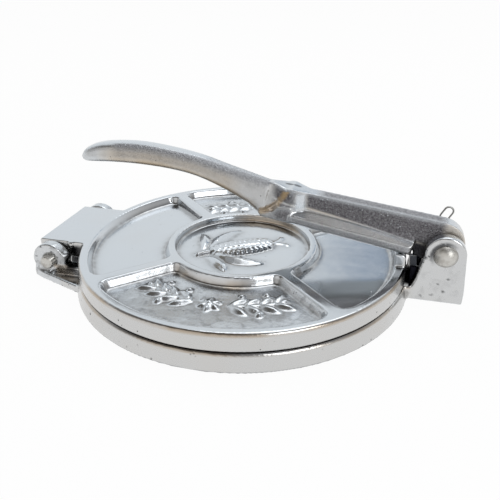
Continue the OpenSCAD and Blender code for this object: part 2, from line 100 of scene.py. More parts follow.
class Bench:
    """Selection, edit mode and modifiers, as used by hand."""

    @staticmethod
    def clear() -> None:
        """Leaves edit mode and deselects everything."""
        if bpy.context.object is not None and bpy.context.object.mode != "OBJECT":
            bpy.ops.object.mode_set(mode="OBJECT")
        bpy.ops.object.select_all(action="DESELECT")

    @staticmethod
    def pick(piece: Piece) -> None:
        """Makes one piece the only selected one, and the active one."""
        Bench.clear()
        piece.select_set(True)
        bpy.context.view_layer.objects.active = piece

    @staticmethod
    def edit(piece: Piece) -> None:
        """Opens a piece in edit mode, for its points, with nothing selected.

        Args:
            piece: The piece to open.
        """
        Bench.pick(piece)
        bpy.ops.object.mode_set(mode="EDIT")
        bpy.ops.mesh.select_mode(type="VERT")
        bpy.ops.mesh.select_all(action="DESELECT")

    @staticmethod
    def close() -> None:
        """Leaves edit mode."""
        bpy.ops.object.mode_set(mode="OBJECT")

    @staticmethod
    def choose_points(piece: Piece, test: Callable[[Vector], bool]) -> None:
        """Selects the points of the open piece whose place passes a test.

        Args:
            piece: The piece that is open in edit mode.
            test: Says of a point's place whether it is wanted.
        """
        mesh = bmesh.from_edit_mesh(piece.data)
        bpy.ops.mesh.select_all(action="DESELECT")
        for point in mesh.verts:
            point.select_set(test(point.co))
        mesh.select_flush(True)
        bmesh.update_edit_mesh(piece.data)

    @staticmethod
    def apply(piece: Piece, kind: str, **settings: Any) -> None:
        """Adds a modifier with its settings and applies it.

        Args:
            piece: The piece.
            kind: The modifier's type.
            settings: Its settings by name.
        """
        Bench.pick(piece)
        modifier = piece.modifiers.new(kind.lower(), kind)
        for name, value in settings.items():
            setattr(modifier, name, value)
        bpy.ops.object.modifier_apply(modifier=modifier.name)

    @staticmethod
    def cut(piece: Piece, cutter: Piece) -> None:
        """Cuts one piece out of another and clears it away."""
        Bench.apply(piece, "BOOLEAN", operation="DIFFERENCE", object=cutter, solver="EXACT")
        bpy.data.objects.remove(cutter)

    @staticmethod
    def settle(piece: Piece) -> None:
        """Puts a piece's place, turn and scale into its mesh."""
        Bench.pick(piece)
        bpy.ops.object.transform_apply(location=True, rotation=True, scale=True)

    @staticmethod
    def join(pieces: Iterable[Piece], name: str) -> Piece:
        """Joins pieces into the first of them.

        Args:
            pieces: The pieces, the one that stays first.
            name: The joined piece's name.

        Returns:
            The joined piece.
        """
        several = list(pieces)
        Bench.clear()
        for piece in several:
            piece.select_set(True)
        bpy.context.view_layer.objects.active = several[0]
        if len(several) > 1:
            bpy.ops.object.join()
        several[0].name = name
        several[0].data.name = name
        return several[0]

    @staticmethod
    def twin(piece: Piece, name: str) -> Piece:
        """Copies a piece with a mesh of its own.

        Args:
            piece: The piece to copy.
            name: The copy's name.

        Returns:
            The copy, riding on nothing and with no material.
        """
        copy = bpy.data.objects.new(name, piece.data.copy())
        copy.data.materials.clear()
        bpy.context.scene.collection.objects.link(copy)
        return copy

    @staticmethod
    def block(low: Place, high: Place) -> Piece:
        """Models a box between two corners, in millimetres.

        Args:
            low: The lowest corner.
            high: The highest corner.

        Returns:
            The box.
        """
        Bench.clear()
        bpy.ops.mesh.primitive_cube_add(size=MM)
        block = bpy.context.object
        block.scale = [end - start for start, end in zip(low, high)]
        block.location = [(end + start) / 2 * MM for start, end in zip(low, high)]
        Bench.settle(block)
        return block

    @staticmethod
    def ball(middle: Place, radii: Place, hand: int = 1) -> Piece:
        """Models an ellipsoid, in millimetres.

        Args:
            middle: Its middle.
            radii: Its radii.
            hand: 1, or -1 to set it across the press's middle plane.

        Returns:
            The ellipsoid.
        """
        x, y, z = middle
        Bench.clear()
        bpy.ops.mesh.primitive_uv_sphere_add(segments=32, ring_count=16, radius=MM)
        ball = bpy.context.object
        ball.scale = radii
        ball.location = (x * MM, y * hand * MM, z * MM)
        Bench.settle(ball)
        return ball

    @staticmethod
    def bead(path: list[Place], radius: float) -> Piece:
        """Models a round bead along a path, in millimetres.

        Args:
            path: The points of its middle line.
            radius: Its radius.

        Returns:
            The bead, closed at both ends.
        """
        line = bpy.data.curves.new("bead", "CURVE")
        line.dimensions = "3D"
        line.bevel_depth = radius * MM
        line.bevel_resolution = 2
        line.use_fill_caps = True
        spline = line.splines.new("POLY")
        spline.points.add(len(path) - 1)
        for point, place in zip(spline.points, path):
            point.co = (*(part * MM for part in place), 1.0)
        bead = bpy.data.objects.new("bead", line)
        bpy.context.scene.collection.objects.link(bead)
        Bench.pick(bead)
        bpy.ops.object.convert(target="MESH")
        return bpy.context.object

    @staticmethod
    def smooth(piece: Piece, angle: float) -> None:
        """Shades a piece smoothly, but for edges sharper than an angle in degrees."""
        Bench.pick(piece)
        bpy.ops.object.shade_smooth_by_angle(angle=math.radians(angle))

    @staticmethod
    def outward(piece: Piece) -> None:
        """Merges doubled points and turns every face outwards.

        Args:
            piece: The piece.
        """
        Bench.edit(piece)
        bpy.ops.mesh.select_all(action="SELECT")
        bpy.ops.mesh.remove_doubles(threshold=TOUCH * MM)
        bpy.ops.mesh.normals_make_consistent(inside=False)
        Bench.close()


# --------------------------------------------------------------------------------------
# Shader maths
# --------------------------------------------------------------------------------------


class Value:
    """A number that varies over a surface, used in ordinary arithmetic."""

    def __init__(self, graph: Graph, socket: bpy.types.NodeSocket | None) -> None:
        """Wraps an output socket of a graph."""
        self.graph = graph
        self.socket = socket

    def maths(self, operation: str, *others: Value | float, first: bool = True) -> Value:
        """Adds a Math node on this value and others.

        Args:
            operation: The Math node's operation.
            others: The other operands.
            first: Whether this value comes before the others.

        Returns:
            The result.
        """
        operands = [self, *others] if first else [*others, self]
        return self.graph.add(
            "ShaderNodeMath", {"operation": operation}, dict(enumerate(operands))
        )

    def __add__(self, other: Value | float) -> Value:
        """Returns the sum."""
        return self.maths("ADD", other)

    __radd__ = __add__

    def __sub__(self, other: Value | float) -> Value:
        """Returns the difference."""
        return self.maths("SUBTRACT", other)

    def __rsub__(self, other: float) -> Value:
        """Returns a number less this value."""
        return self.maths("SUBTRACT", other, first=False)

    def __mul__(self, other: Value | float) -> Value:
        """Returns the product."""
        return self.maths("MULTIPLY", other)

    __rmul__ = __mul__

    def limited(self) -> Value:
        """Returns this value kept from 0 to 1."""
        return self.maths("MAXIMUM", 0.0).maths("MINIMUM", 1.0)

    def most(self, other: Value | float) -> Value:
        """Returns the larger of two values."""
        return self.maths("MAXIMUM", other)

    def step(self, low: float, high: float) -> Value:
        """Rises smoothly between two levels, or falls where low is the larger.

        Args:
            low: The level at which it is 0.
            high: The level at which it is 1.

        Returns:
            The result, from 0 to 1.
        """
        return self.graph.add(
            "ShaderNodeMapRange",
            {"interpolation_type": "SMOOTHSTEP"},
            {"Value": self, "From Min": low, "From Max": high},
        )


class Graph:
    """Builds one material's or world's nodes."""

    def __init__(self, tree: bpy.types.NodeTree) -> None:
        """Empties a node tree and takes it over."""
        self.tree = tree
        tree.nodes.clear()

    def add(
        self,
        kind: str,
        settings: dict[str, Any] | None = None,
        inputs: dict[str | int, Any] | None = None,
        output: str | int | None = 0,
    ) -> Value:
        """Adds a node, sets it up and connects it.

        Args:
            kind: The node's type.
            settings: Its own settings, which are set first.
            inputs: A value or a link for each socket, by name or place.
            output: The output socket that is wanted, or None for a node that has none.

        Returns:
            That output.
        """
        node = self.tree.nodes.new(kind)
        for name, value in (settings or {}).items():
            setattr(node, name, value)
        for name, value in (inputs or {}).items():
            socket = node.inputs[name]
            if isinstance(value, Value):
                self.tree.links.new(value.socket, socket)
            else:
                socket.default_value = value
        return Value(self, None if output is None else node.outputs[output])

    def place(self) -> Value:
        """Returns the place on the piece, in millimetres."""
        point = self.add("ShaderNodeTexCoord", output="Object")
        scaled = {"Scale": (1 / MM, 1 / MM, 1 / MM)}
        return self.add("ShaderNodeMapping", None, {"Vector": point, **scaled})

    def noise(
        self, point: Value, size: float, detail: float = 2.0, rough: float = 0.5
    ) -> Value:
        """Returns a soft noise.

        Args:
            point: The place on the piece.
            size: About how wide its lumps are, in millimetres.
            detail: How many finer noises lie in it.
            rough: How strong those are.

        Returns:
            The noise, about 0.5.
        """
        return self.add(
            "ShaderNodeTexNoise",
            {"noise_dimensions": "3D"},
            {"Vector": point, "Scale": 1 / size, "Detail": detail, "Roughness": rough},
        )

    def cells(self, point: Value, size: float) -> Value:
        """Measures the distance to the nearest of scattered points.

        Args:
            point: The place on the piece.
            size: How far apart the scattered points are, in millimetres.

        Returns:
            The distance, as a share of size.
        """
        return self.add(
            "ShaderNodeTexVoronoi",
            {"feature": "F1"},
            {"Vector": point, "Scale": 1 / size, "Randomness": 1.0},
        )

    def lobe(
        self,
        way: Value,
        azimuth: float,
        elevation: float,
        spread: float,
        core: float = 0.35,
    ) -> Value:
        """Returns a soft patch of sky.

        Args:
            way: The direction that is looked at.
            azimuth: The patch's middle, in degrees from +X.
            elevation: The same, in degrees above the floor.
            spread: Degrees from the middle to where the patch has faded out.
            core: The share of the spread over which it is still full.

        Returns:
            1 in the middle, falling to 0.
        """
        turn, tilt = math.radians(azimuth), math.radians(elevation)
        flat = math.cos(tilt)
        middle = (math.cos(turn) * flat, math.sin(turn) * flat, math.sin(tilt))
        faded, full = math.radians(spread), math.radians(spread * core)
        near = self.vector_maths("DOT_PRODUCT", way, middle)
        return near.step(math.cos(faded), math.cos(full))

    def vector_maths(self, operation: str, first: Value, second: Place) -> Value:
        """Returns the number that a Vector Math node makes of a vector and a fixed one."""
        return self.add(
            "ShaderNodeVectorMath", {"operation": operation}, {0: first, 1: second}, "Value"
        )

    def mark(self, mark: Mark) -> Value:
        """Returns a casting's vertex attribute."""
        return self.add("ShaderNodeAttribute", {"attribute_name": mark.value}, output="Fac")

    def blend(self, share: Value | float, first: Any, second: Any) -> Value:
        """Mixes two colours.

        Args:
            share: How much of the second colour there is.
            first: A colour or a link.
            second: A colour or a link.

        Returns:
            The mixed colour.
        """
        colours = {
            6: first if isinstance(first, Value) else (*first, 1.0),
            7: second if isinstance(second, Value) else (*second, 1.0),
        }
        return self.add(
            "ShaderNodeMix", {"data_type": "RGBA"}, {0: share, **colours}, output=2
        )

    def bump(self, height: Value, depth: float) -> Value:
        """Returns a normal raised by a height from 0 to 1 over a depth in millimetres."""
        return self.add("ShaderNodeBump", None, {"Height": height, "Distance": depth * MM})

    def metal(self, colour: Value, rough: Value, height: Value, depth: float) -> None:
        """Ends a material in a metal surface.

        Args:
            colour: Its colour.
            rough: Its roughness.
            height: Its relief, about 0 to 1.
            depth: How deep a relief of 1 is, in millimetres.
        """
        surface = self.add(
            "ShaderNodeBsdfPrincipled",
            None,
            {
                "Base Color": colour,
                "Metallic": 1.0,
                "Roughness": rough.limited(),
                "Normal": self.bump(height, depth),
            },
        )
        self.add("ShaderNodeOutputMaterial", None, {"Surface": surface}, None)


# --------------------------------------------------------------------------------------
# Finishes
# --------------------------------------------------------------------------------------


def new_material(name: str) -> tuple[bpy.types.Material, Graph]:
    """Makes a material and returns it with its empty graph."""
    made = bpy.data.materials.new(name)
    made.use_nodes = True
    return made, Graph(made.node_tree)


@dataclass(frozen=True)
class Skin:
    """What varies over a plated casting: its marks, and the noises of its skin."""

    point: Value
    wall: Value
    hollow: Value
    edge: Value
    raw: Value
    cast: Value
    shade_and_grime: Value
    stain: Value
    cloud: Value
    mottle: Value
    grain: Value
    sand: Value
    pit: Value
    freckle: Value


@dataclass(frozen=True)
class PlateFinish:
    """Bright tin plate over cast iron: polished on top, satin on the walls, raw in places.

    What ends in size, and the relief's depth, are millimetres.
    """

    name: str
    bright: Colour = (0.60, 0.63, 0.66)
    warm: Colour = (0.585, 0.58, 0.57)
    stain: Colour = (0.40, 0.30, 0.19)
    # Painted shade: the colour laid into hollows, darkening them as ambient occlusion would.
    hollow_shade: Colour = (0.12, 0.105, 0.09)
    dark: Colour = (0.035, 0.032, 0.03)
    # Near black, painted into gaps and between parts as their shade, and into pits and dents.
    shade_and_grime_black: Colour = (0.008, 0.008, 0.012)
    raw_light: Colour = (0.30, 0.295, 0.29)
    # Partly painted shade: the raw skin's dark end is darker than iron, standing also for the
    # shade and dark reflections of the lever's recessed web.
    raw_and_shade_dark: Colour = (0.13, 0.125, 0.12)
    polish: float = 0.13
    satin: float = 0.27
    raw_roughness: float = 0.42
    shade_and_grime_roughness: float = 0.24
    cast_roughness: float = 0.08
    cloud_size: float = 26.0
    ripple_size: float = 14.0
    pitted_patch_size: float = 9.0
    mottle_size: float = 5.0
    pit_size: float = 4.2
    freckle_size: float = 1.7
    sand_size: float = 1.1
    grain_size: float = 0.55
    pit_share: float = 0.12
    hollow_shade_share: float = 0.5
    clouds: float = 0.35
    ripple: float = 0.25
    grain: float = 0.03
    relief_depth: float = 0.6

    def material(self) -> bpy.types.Material:
        """Builds the material.

        Returns:
            A new node-based material.
        """
        made, graph = new_material(self.name)
        skin = self._skin(graph)
        colour, rough = self._colour(graph, skin), self._roughness(skin)
        graph.metal(colour, rough, self._height(graph, skin), self.relief_depth)
        return made

    def _skin(self, graph: Graph) -> Skin:
        """Reads the casting's marks and lays the noises over them.

        Args:
            graph: The material's graph.

        Returns:
            The marks and the noises.
        """
        marks = {mark.value: graph.mark(mark) for mark in Mark}
        point = graph.place()
        mottle = graph.noise(point, self.mottle_size, 4.0, 0.6)
        pitted = graph.noise(point, self.pitted_patch_size, 1.0).step(0.5, 0.62)
        pitted = pitted * (0.25 + 0.75 * marks["wall"].most(marks["cast"]))
        pit = graph.cells(point, self.pit_size).step(self.pit_share, self.pit_share * 0.4)
        freckle = graph.cells(point, self.freckle_size).step(0.3, 0.12)
        return Skin(
            point=point,
            **marks,
            cloud=graph.noise(point, self.cloud_size, 3.0),
            mottle=mottle,
            grain=graph.noise(point, self.grain_size, 2.0, 0.6),
            sand=graph.noise(point, self.sand_size, 3.0, 0.65).step(0.3, 0.72),
            pit=pit * pitted,
            freckle=freckle * mottle.step(0.48, 0.62) * marks["raw"],
        )

    def _colour(self, graph: Graph, skin: Skin) -> Value:
        """Lays the colours over each other, from the plating up to the black of painted shade
        and grime.

        Args:
            graph: The material's graph.
            skin: What varies over the casting.

        Returns:
            The colour.
        """
        warmth = skin.wall * 0.85 + skin.cloud.step(0.42, 0.7) * 0.15
        # Painted shade: hollows are darkened as ambient occlusion would darken them.
        hollow_shade_share = skin.hollow * self.hollow_shade_share * (0.6 + 0.4 * skin.mottle.step(0.35, 0.6))
        worn = skin.freckle + skin.raw * skin.edge * 0.6
        yellow = skin.stain * (0.4 + 0.6 * skin.cloud.step(0.4, 0.6))
        cloudy = skin.mottle.step(0.5, 0.68) * skin.cast * self.clouds
        colour = graph.blend(warmth.limited(), self.bright, self.warm)
        for share, layer in (
            (hollow_shade_share, self.hollow_shade),
            (skin.raw, graph.blend(skin.sand, self.raw_and_shade_dark, self.raw_light)),
            (worn, self.bright),
            (yellow, self.stain),
            ((skin.pit * 0.85).most(cloudy), self.dark),
            # Painted shade in gaps and between parts, and grime, in near black.
            (skin.shade_and_grime, self.shade_and_grime_black),
        ):
            colour = graph.blend(share.limited(), colour, layer)
        return colour

    def _roughness(self, skin: Skin) -> Value:
        """Works out the roughness: low on top, more on walls, raw skin and the painted black
        of shade and grime.

        Args:
            skin: What varies over the casting.

        Returns:
            The roughness.
        """
        rough = self.polish + (self.satin - self.polish) * skin.wall
        rough = rough + skin.raw * (self.raw_roughness - self.polish - skin.freckle * 0.25)
        rough = rough + (skin.mottle - 0.5) * 0.08 + skin.cast * self.cast_roughness
        return rough + skin.shade_and_grime * (self.shade_and_grime_roughness - rough)

    def _height(self, graph: Graph, skin: Skin) -> Value:
        """Works out the relief: ripples, grain, sand and freckles, less the pits.

        Args:
            graph: The material's graph.
            skin: What varies over the casting.

        Returns:
            The height, about 0 to 1.
        """
        ripples = graph.noise(skin.point, self.ripple_size, 1.0)
        height = ripples * (self.ripple + 0.5 * skin.cast)
        grainy = self.grain * (1 + 8 * skin.raw + skin.wall + 2 * skin.cast)
        height = height + skin.grain * grainy - skin.pit * 0.5
        height = height + skin.freckle * 0.3 + skin.sand * skin.raw * 0.35
        return height + skin.mottle * (0.03 + 0.25 * skin.cast)


@dataclass(frozen=True)
class SteelFinish:
    """Plain steel, turned or drawn, with fine rings and dull patches, sized in millimetres."""

    name: str
    colour: Colour
    dull: Colour
    roughness: float
    ring_size: float
    patch_size: float = 3.0
    relief_depth: float = 0.04
    stretch: Place = (0.1, 1.0, 0.1)

    def material(self) -> bpy.types.Material:
        """Builds the material.

        Returns:
            A new node-based material.
        """
        made, graph = new_material(self.name)
        point = graph.place()
        patch = graph.noise(point, self.patch_size, 3.0, 0.6)
        stretched = graph.add(
            "ShaderNodeMapping", None, {"Vector": point, "Scale": self.stretch}
        )
        ring = graph.noise(stretched, self.ring_size, 2.0)
        colour = graph.blend(patch.step(0.4, 0.75), self.colour, self.dull)
        rough = self.roughness + (patch - 0.5) * 0.2 + (ring - 0.5) * 0.1
        graph.metal(colour, rough, ring + patch * 0.5, self.relief_depth)
        return made


# --------------------------------------------------------------------------------------
# Castings
# --------------------------------------------------------------------------------------


def band(values: np.ndarray, low: float, high: float, soft: float) -> np.ndarray:
    """Returns 1 for values from low to high, falling to 0 over soft on either side."""
    return np.clip(np.minimum(values - low, high - values) / soft + 1, 0, 1)


def rise(values: np.ndarray, start: float, end: float) -> np.ndarray:
    """Returns 0 up to start, 1 beyond end and an even slope between them."""
    return np.clip((values - start) / (end - start), 0, 1)


@dataclass(frozen=True)
class Zone:
    """A part of a casting, in millimetres.

    Each span is a start, an end and how far it fades out beyond them. Out is the distance
    from the plates' axis. With both set, y is the distance from the press's middle plane.
    """

    x: Span | None = None
    y: Span | None = None
    z: Span | None = None
    out: Span | None = None
    both: bool = False
    weight: float = 1.0

    def share(self, points: np.ndarray) -> np.ndarray:
        """Works out how far each point lies in the zone.

        Args:
            points: The casting's points, in millimetres.

        Returns:
            Each point's share, from 0 to the zone's weight.
        """
        x, y, z = points.T
        measured = (x, np.abs(y) if self.both else y, z, np.hypot(x, y))
        share = np.full(len(points), self.weight)
        for values, span in zip(measured, (self.x, self.y, self.z, self.out)):
            if span is not None:
                share = share * band(values, *span)
        return share

    @staticmethod
    def most(points: np.ndarray, *zones: Zone) -> np.ndarray:
        """Returns each point's share of the zone that it lies furthest in."""
        return np.maximum.reduce([zone.share(points) for zone in zones])


@dataclass(frozen=True)
class Pits:
    """Black pits in the outer faces of a pair of ears, each an x, a z and a radius."""

    places: tuple[Place, ...]
    depth: float = 0.6

    def share(self, points: np.ndarray, face: float) -> np.ndarray:
        """Works out how far each point lies in one of the pits.

        Args:
            points: The casting's points, in millimetres.
            face: The distance of the ears' faces from the press's middle plane.

        Returns:
            Each point's share, from 0 to 1.
        """
        x, y, z = points.T
        pits = [
            band(np.hypot(x - at_x, z - at_z), -1, radius, 0.5)
            for at_x, at_z, radius in self.places
        ]
        return np.maximum.reduce(pits) * (np.abs(y) > face - self.depth)


@dataclass(frozen=True)
class Mould:
    """How far a pattern's sharp edges are softened in the casting."""

    voxel: float
    passes: int
    triangles: int
    fillet: int = 0
    strength: float = 0.5


def put_in_place(piece: Piece, node: str, body: Body) -> None:
    """Lets a finished piece stand for its node, and reports it.

    Args:
        piece: The finished piece.
        node: The CAD node that it replaces.
        body: The body that it rides on.
    """
    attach(piece, body.value)
    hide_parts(node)
    LOG.info("%s: %d faces on %s", piece.name, len(piece.data.polygons), body.value)


@dataclass
class Casting:
    """A casting: the softened copy of a CAD node with what is cast on it."""

    node: str
    piece_name: str
    body: Body
    slot: str
    finish: PlateFinish
    mould: Mould

    def relief(self) -> list[Piece]:
        """Returns what is cast on the form, as loose pieces."""
        return []

    def wall_share(self, points: np.ndarray, normals: np.ndarray) -> np.ndarray:
        """Returns how much of a satin wall each point is, from 0 to 1."""
        return rise(np.abs(normals[:, 2]), 0.8, 0.3)

    def rough_share(self, points: np.ndarray, normals: np.ndarray) -> np.ndarray:
        """Returns how raw the skin is at each point, from 0 to 1."""
        return np.zeros(len(points))

    def cast_share(self, points: np.ndarray, normals: np.ndarray) -> np.ndarray:
        """Returns how uneven the plated skin is at each point, from 0 to 1."""
        return np.zeros(len(points))

    def shade_and_grime_share(self, points: np.ndarray) -> np.ndarray:
        """Returns how black each point is painted, as shade in gaps and as grime, from 0 to 1.
        """
        return np.zeros(len(points))

    def stain_share(self, points: np.ndarray, normals: np.ndarray) -> np.ndarray:
        """Returns how far the plating has yellowed at each point, from 0 to 1."""
        return np.zeros(len(points))

    def soft_share(self, points: np.ndarray) -> np.ndarray:
        """Returns how far each point lies in a hollow that is filled out with a fillet."""
        return np.zeros(len(points))

    def build(self, nodes: dict[str, Piece]) -> None:
        """Casts the piece and dresses it.

        Args:
            nodes: The frame's CAD nodes by name.
        """
        mould = self.mould
        piece = Bench.twin(nodes[self.node], self.piece_name)
        Bench.outward(piece)
        piece = Bench.join([piece, *self.relief()], self.piece_name)
        Bench.apply(piece, "REMESH", mode="VOXEL", voxel_size=mould.voxel * MM, adaptivity=0.0)
        Bench.apply(piece, "SMOOTH", factor=mould.strength, iterations=mould.passes)
        self.fill_out(piece)
        count = sum(len(face.vertices) - 2 for face in piece.data.polygons)
        if count > mould.triangles:
            Bench.apply(piece, "DECIMATE", ratio=mould.triangles / count)
        Bench.pick(piece)
        bpy.ops.object.shade_smooth()
        self.write_marks(piece)
        piece.data.materials.append(self.finish.material())
        put_in_place(piece, self.node, self.body)

    @staticmethod
    def read(mesh: bpy.types.Mesh, what: str) -> np.ndarray:
        """Returns the place, co, or the normal of each of a mesh's points."""
        values = np.zeros(len(mesh.vertices) * 3)
        mesh.vertices.foreach_get(what, values)
        return values.reshape(-1, 3)

    def fill_out(self, piece: Piece, levels: int = 4) -> None:
        """Smooths the hollows further, as fillets do.

        Args:
            piece: The piece.
            levels: How many strengths of smoothing there are.
        """
        share = self.soft_share(self.read(piece.data, "co") / MM)
        if not share.any():
            return
        group = piece.vertex_groups.new(name="hollows")
        for level in range(1, levels + 1):
            chosen = np.flatnonzero(np.round(share * levels) == level)
            group.add(chosen.tolist(), level / levels, "REPLACE")
        mould = self.mould
        Bench.apply(
            piece,
            "SMOOTH",
            factor=mould.strength,
            iterations=mould.fillet,
            vertex_group=group.name,
        )
        piece.vertex_groups.clear()

    def write_marks(self, piece: Piece, bend_gain: float = 9.0) -> None:
        """Writes the attributes that the finish reads.

        Args:
            piece: The piece.
            bend_gain: What a bend in millimetres counts for in a hollow or an edge.
        """
        mesh = piece.data
        points, normals = self.read(mesh, "co") / MM, self.read(mesh, "normal")
        bend = self.bend_of(mesh, points, normals) * bend_gain
        marks = {
            Mark.WALL: self.wall_share(points, normals),
            Mark.HOLLOW: np.clip(bend, 0, 1),
            Mark.EDGE: np.clip(-bend, 0, 1),
            Mark.RAW: self.rough_share(points, normals),
            Mark.CAST: self.cast_share(points, normals),
            Mark.SHADE_AND_GRIME: self.shade_and_grime_share(points),
            Mark.STAIN: self.stain_share(points, normals),
        }
        for mark, values in marks.items():
            attribute = mesh.attributes.new(mark.value, "FLOAT", "POINT")
            attribute.data.foreach_set("value", values.astype(np.float32))

    @staticmethod
    def bend_of(
        mesh: bpy.types.Mesh,
        points: np.ndarray,
        normals: np.ndarray,
        reach: int = 6,
        evening: int = 3,
    ) -> np.ndarray:
        """Works out how hollow the surface is round each point.

        Args:
            mesh: The mesh, for its edges.
            points: The places of its points.
            normals: The normals at its points.
            reach: How many edges away the surroundings end.
            evening: How often the result is evened out.

        Returns:
            Above 0 in a hollow and below 0 on an edge.
        """
        pairs = np.zeros(len(mesh.edges) * 2, np.int64)
        mesh.edges.foreach_get("vertices", pairs)
        start, end = pairs.reshape(-1, 2).T
        degree = np.bincount(pairs, minlength=len(points)).clip(1)

        def average(values: np.ndarray) -> np.ndarray:
            """Averages each point's neighbours.

            Args:
                values: A value for each point.

            Returns:
                The averages.
            """
            total = np.zeros_like(values)
            np.add.at(total, start, values[end])
            np.add.at(total, end, values[start])
            return total / (degree[:, None] if values.ndim > 1 else degree)

        rounded = points
        for _ in range(reach):
            rounded = average(rounded)
        bend = np.einsum("ij,ij->i", rounded - points, normals)
        for _ in range(evening):
            bend = average(bend)
        return bend


# --------------------------------------------------------------------------------------
# Ornaments
# --------------------------------------------------------------------------------------


@dataclass(frozen=True)
class LeafShape:
    """A leaf's length and width, its rib's height, and how far it bends, in degrees."""

    length: float
    width: float
    height: float
    curl: float = 0.0


@dataclass
class Ornament:
    """Raised ornament on one of the lid's floors, in millimetres from the lid's middle."""

    floor: float

    def leaf(self, shape: LeafShape, hand: int = 1, rings: int = 12) -> Piece:
        """Models a leaf along +X from its stalk at the origin, ridged along its rib.

        Args:
            shape: The leaf's sizes.
            hand: 1 where it bends as its shape says, and -1 for its mirror image.
            rings: How many steps there are from stalk to tip.

        Returns:
            The leaf, half sunk in the plane z = 0.
        """
        length = shape.length * MM
        Bench.clear()
        bpy.ops.mesh.primitive_uv_sphere_add(segments=4, ring_count=rings, radius=0.5)
        leaf = bpy.context.object
        leaf.rotation_euler = (0.0, math.pi / 2, 0.0)
        leaf.scale = (2 * shape.height * MM, shape.width * MM, length)
        Bench.settle(leaf)
        Bench.edit(leaf)
        for ring in range(1, rings):
            along = math.cos(math.pi * ring / rings)
            place = along * length / 2
            Bench.choose_points(leaf, lambda at, x=place: abs(at.x - x) < TOUCH * MM)
            narrow = math.sqrt(1 - along * along) ** 0.8
            bpy.ops.transform.resize(
                value=(1.0, narrow, math.sqrt(narrow)), center_override=(place, 0.0, 0.0)
            )
        Bench.close()
        if shape.curl:
            bend = math.radians(shape.curl * hand)
            Bench.apply(
                leaf, "SIMPLE_DEFORM", deform_method="BEND", deform_axis="Z", angle=bend
            )
        leaf.location.x = length / 2
        Bench.settle(leaf)
        return leaf

    def berry(self, radius: float, height: float) -> Piece:
        """Models a round berry at the origin, half sunk in the plane z = 0.

        Args:
            radius: Its radius in plan.
            height: Its height above the plane.

        Returns:
            The berry.
        """
        Bench.clear()
        bpy.ops.mesh.primitive_ico_sphere_add(subdivisions=2, radius=radius * MM)
        berry = bpy.context.object
        berry.scale.z = height / radius
        Bench.settle(berry)
        return berry

    def stem(self, path: list[tuple[float, float]], radius: float) -> Piece:
        """Models a round stem through points of the floor, sunk by half."""
        return Bench.bead([(x, y, self.floor) for x, y in path], radius)

    def set_down(
        self, piece: Piece, x: float, y: float, turn: float = 0.0, lift: float = 0.0
    ) -> Piece:
        """Sets a copy of a piece on the floor.

        Args:
            piece: The piece to copy.
            x: Its place.
            y: Its place.
            turn: Its direction, in degrees from +X.
            lift: How far it is raised above the floor.

        Returns:
            The copy.
        """
        copy = Bench.twin(piece, piece.name)
        copy.location = (x * MM, y * MM, (self.floor + lift) * MM)
        copy.rotation_euler.z = math.radians(turn)
        Bench.settle(copy)
        return copy


@dataclass(frozen=True)
class Husk:
    """A husk leaf, its stalk's place from the cob's foot and its direction in degrees."""

    shape: LeafShape
    ahead: float
    across: float
    turn: float


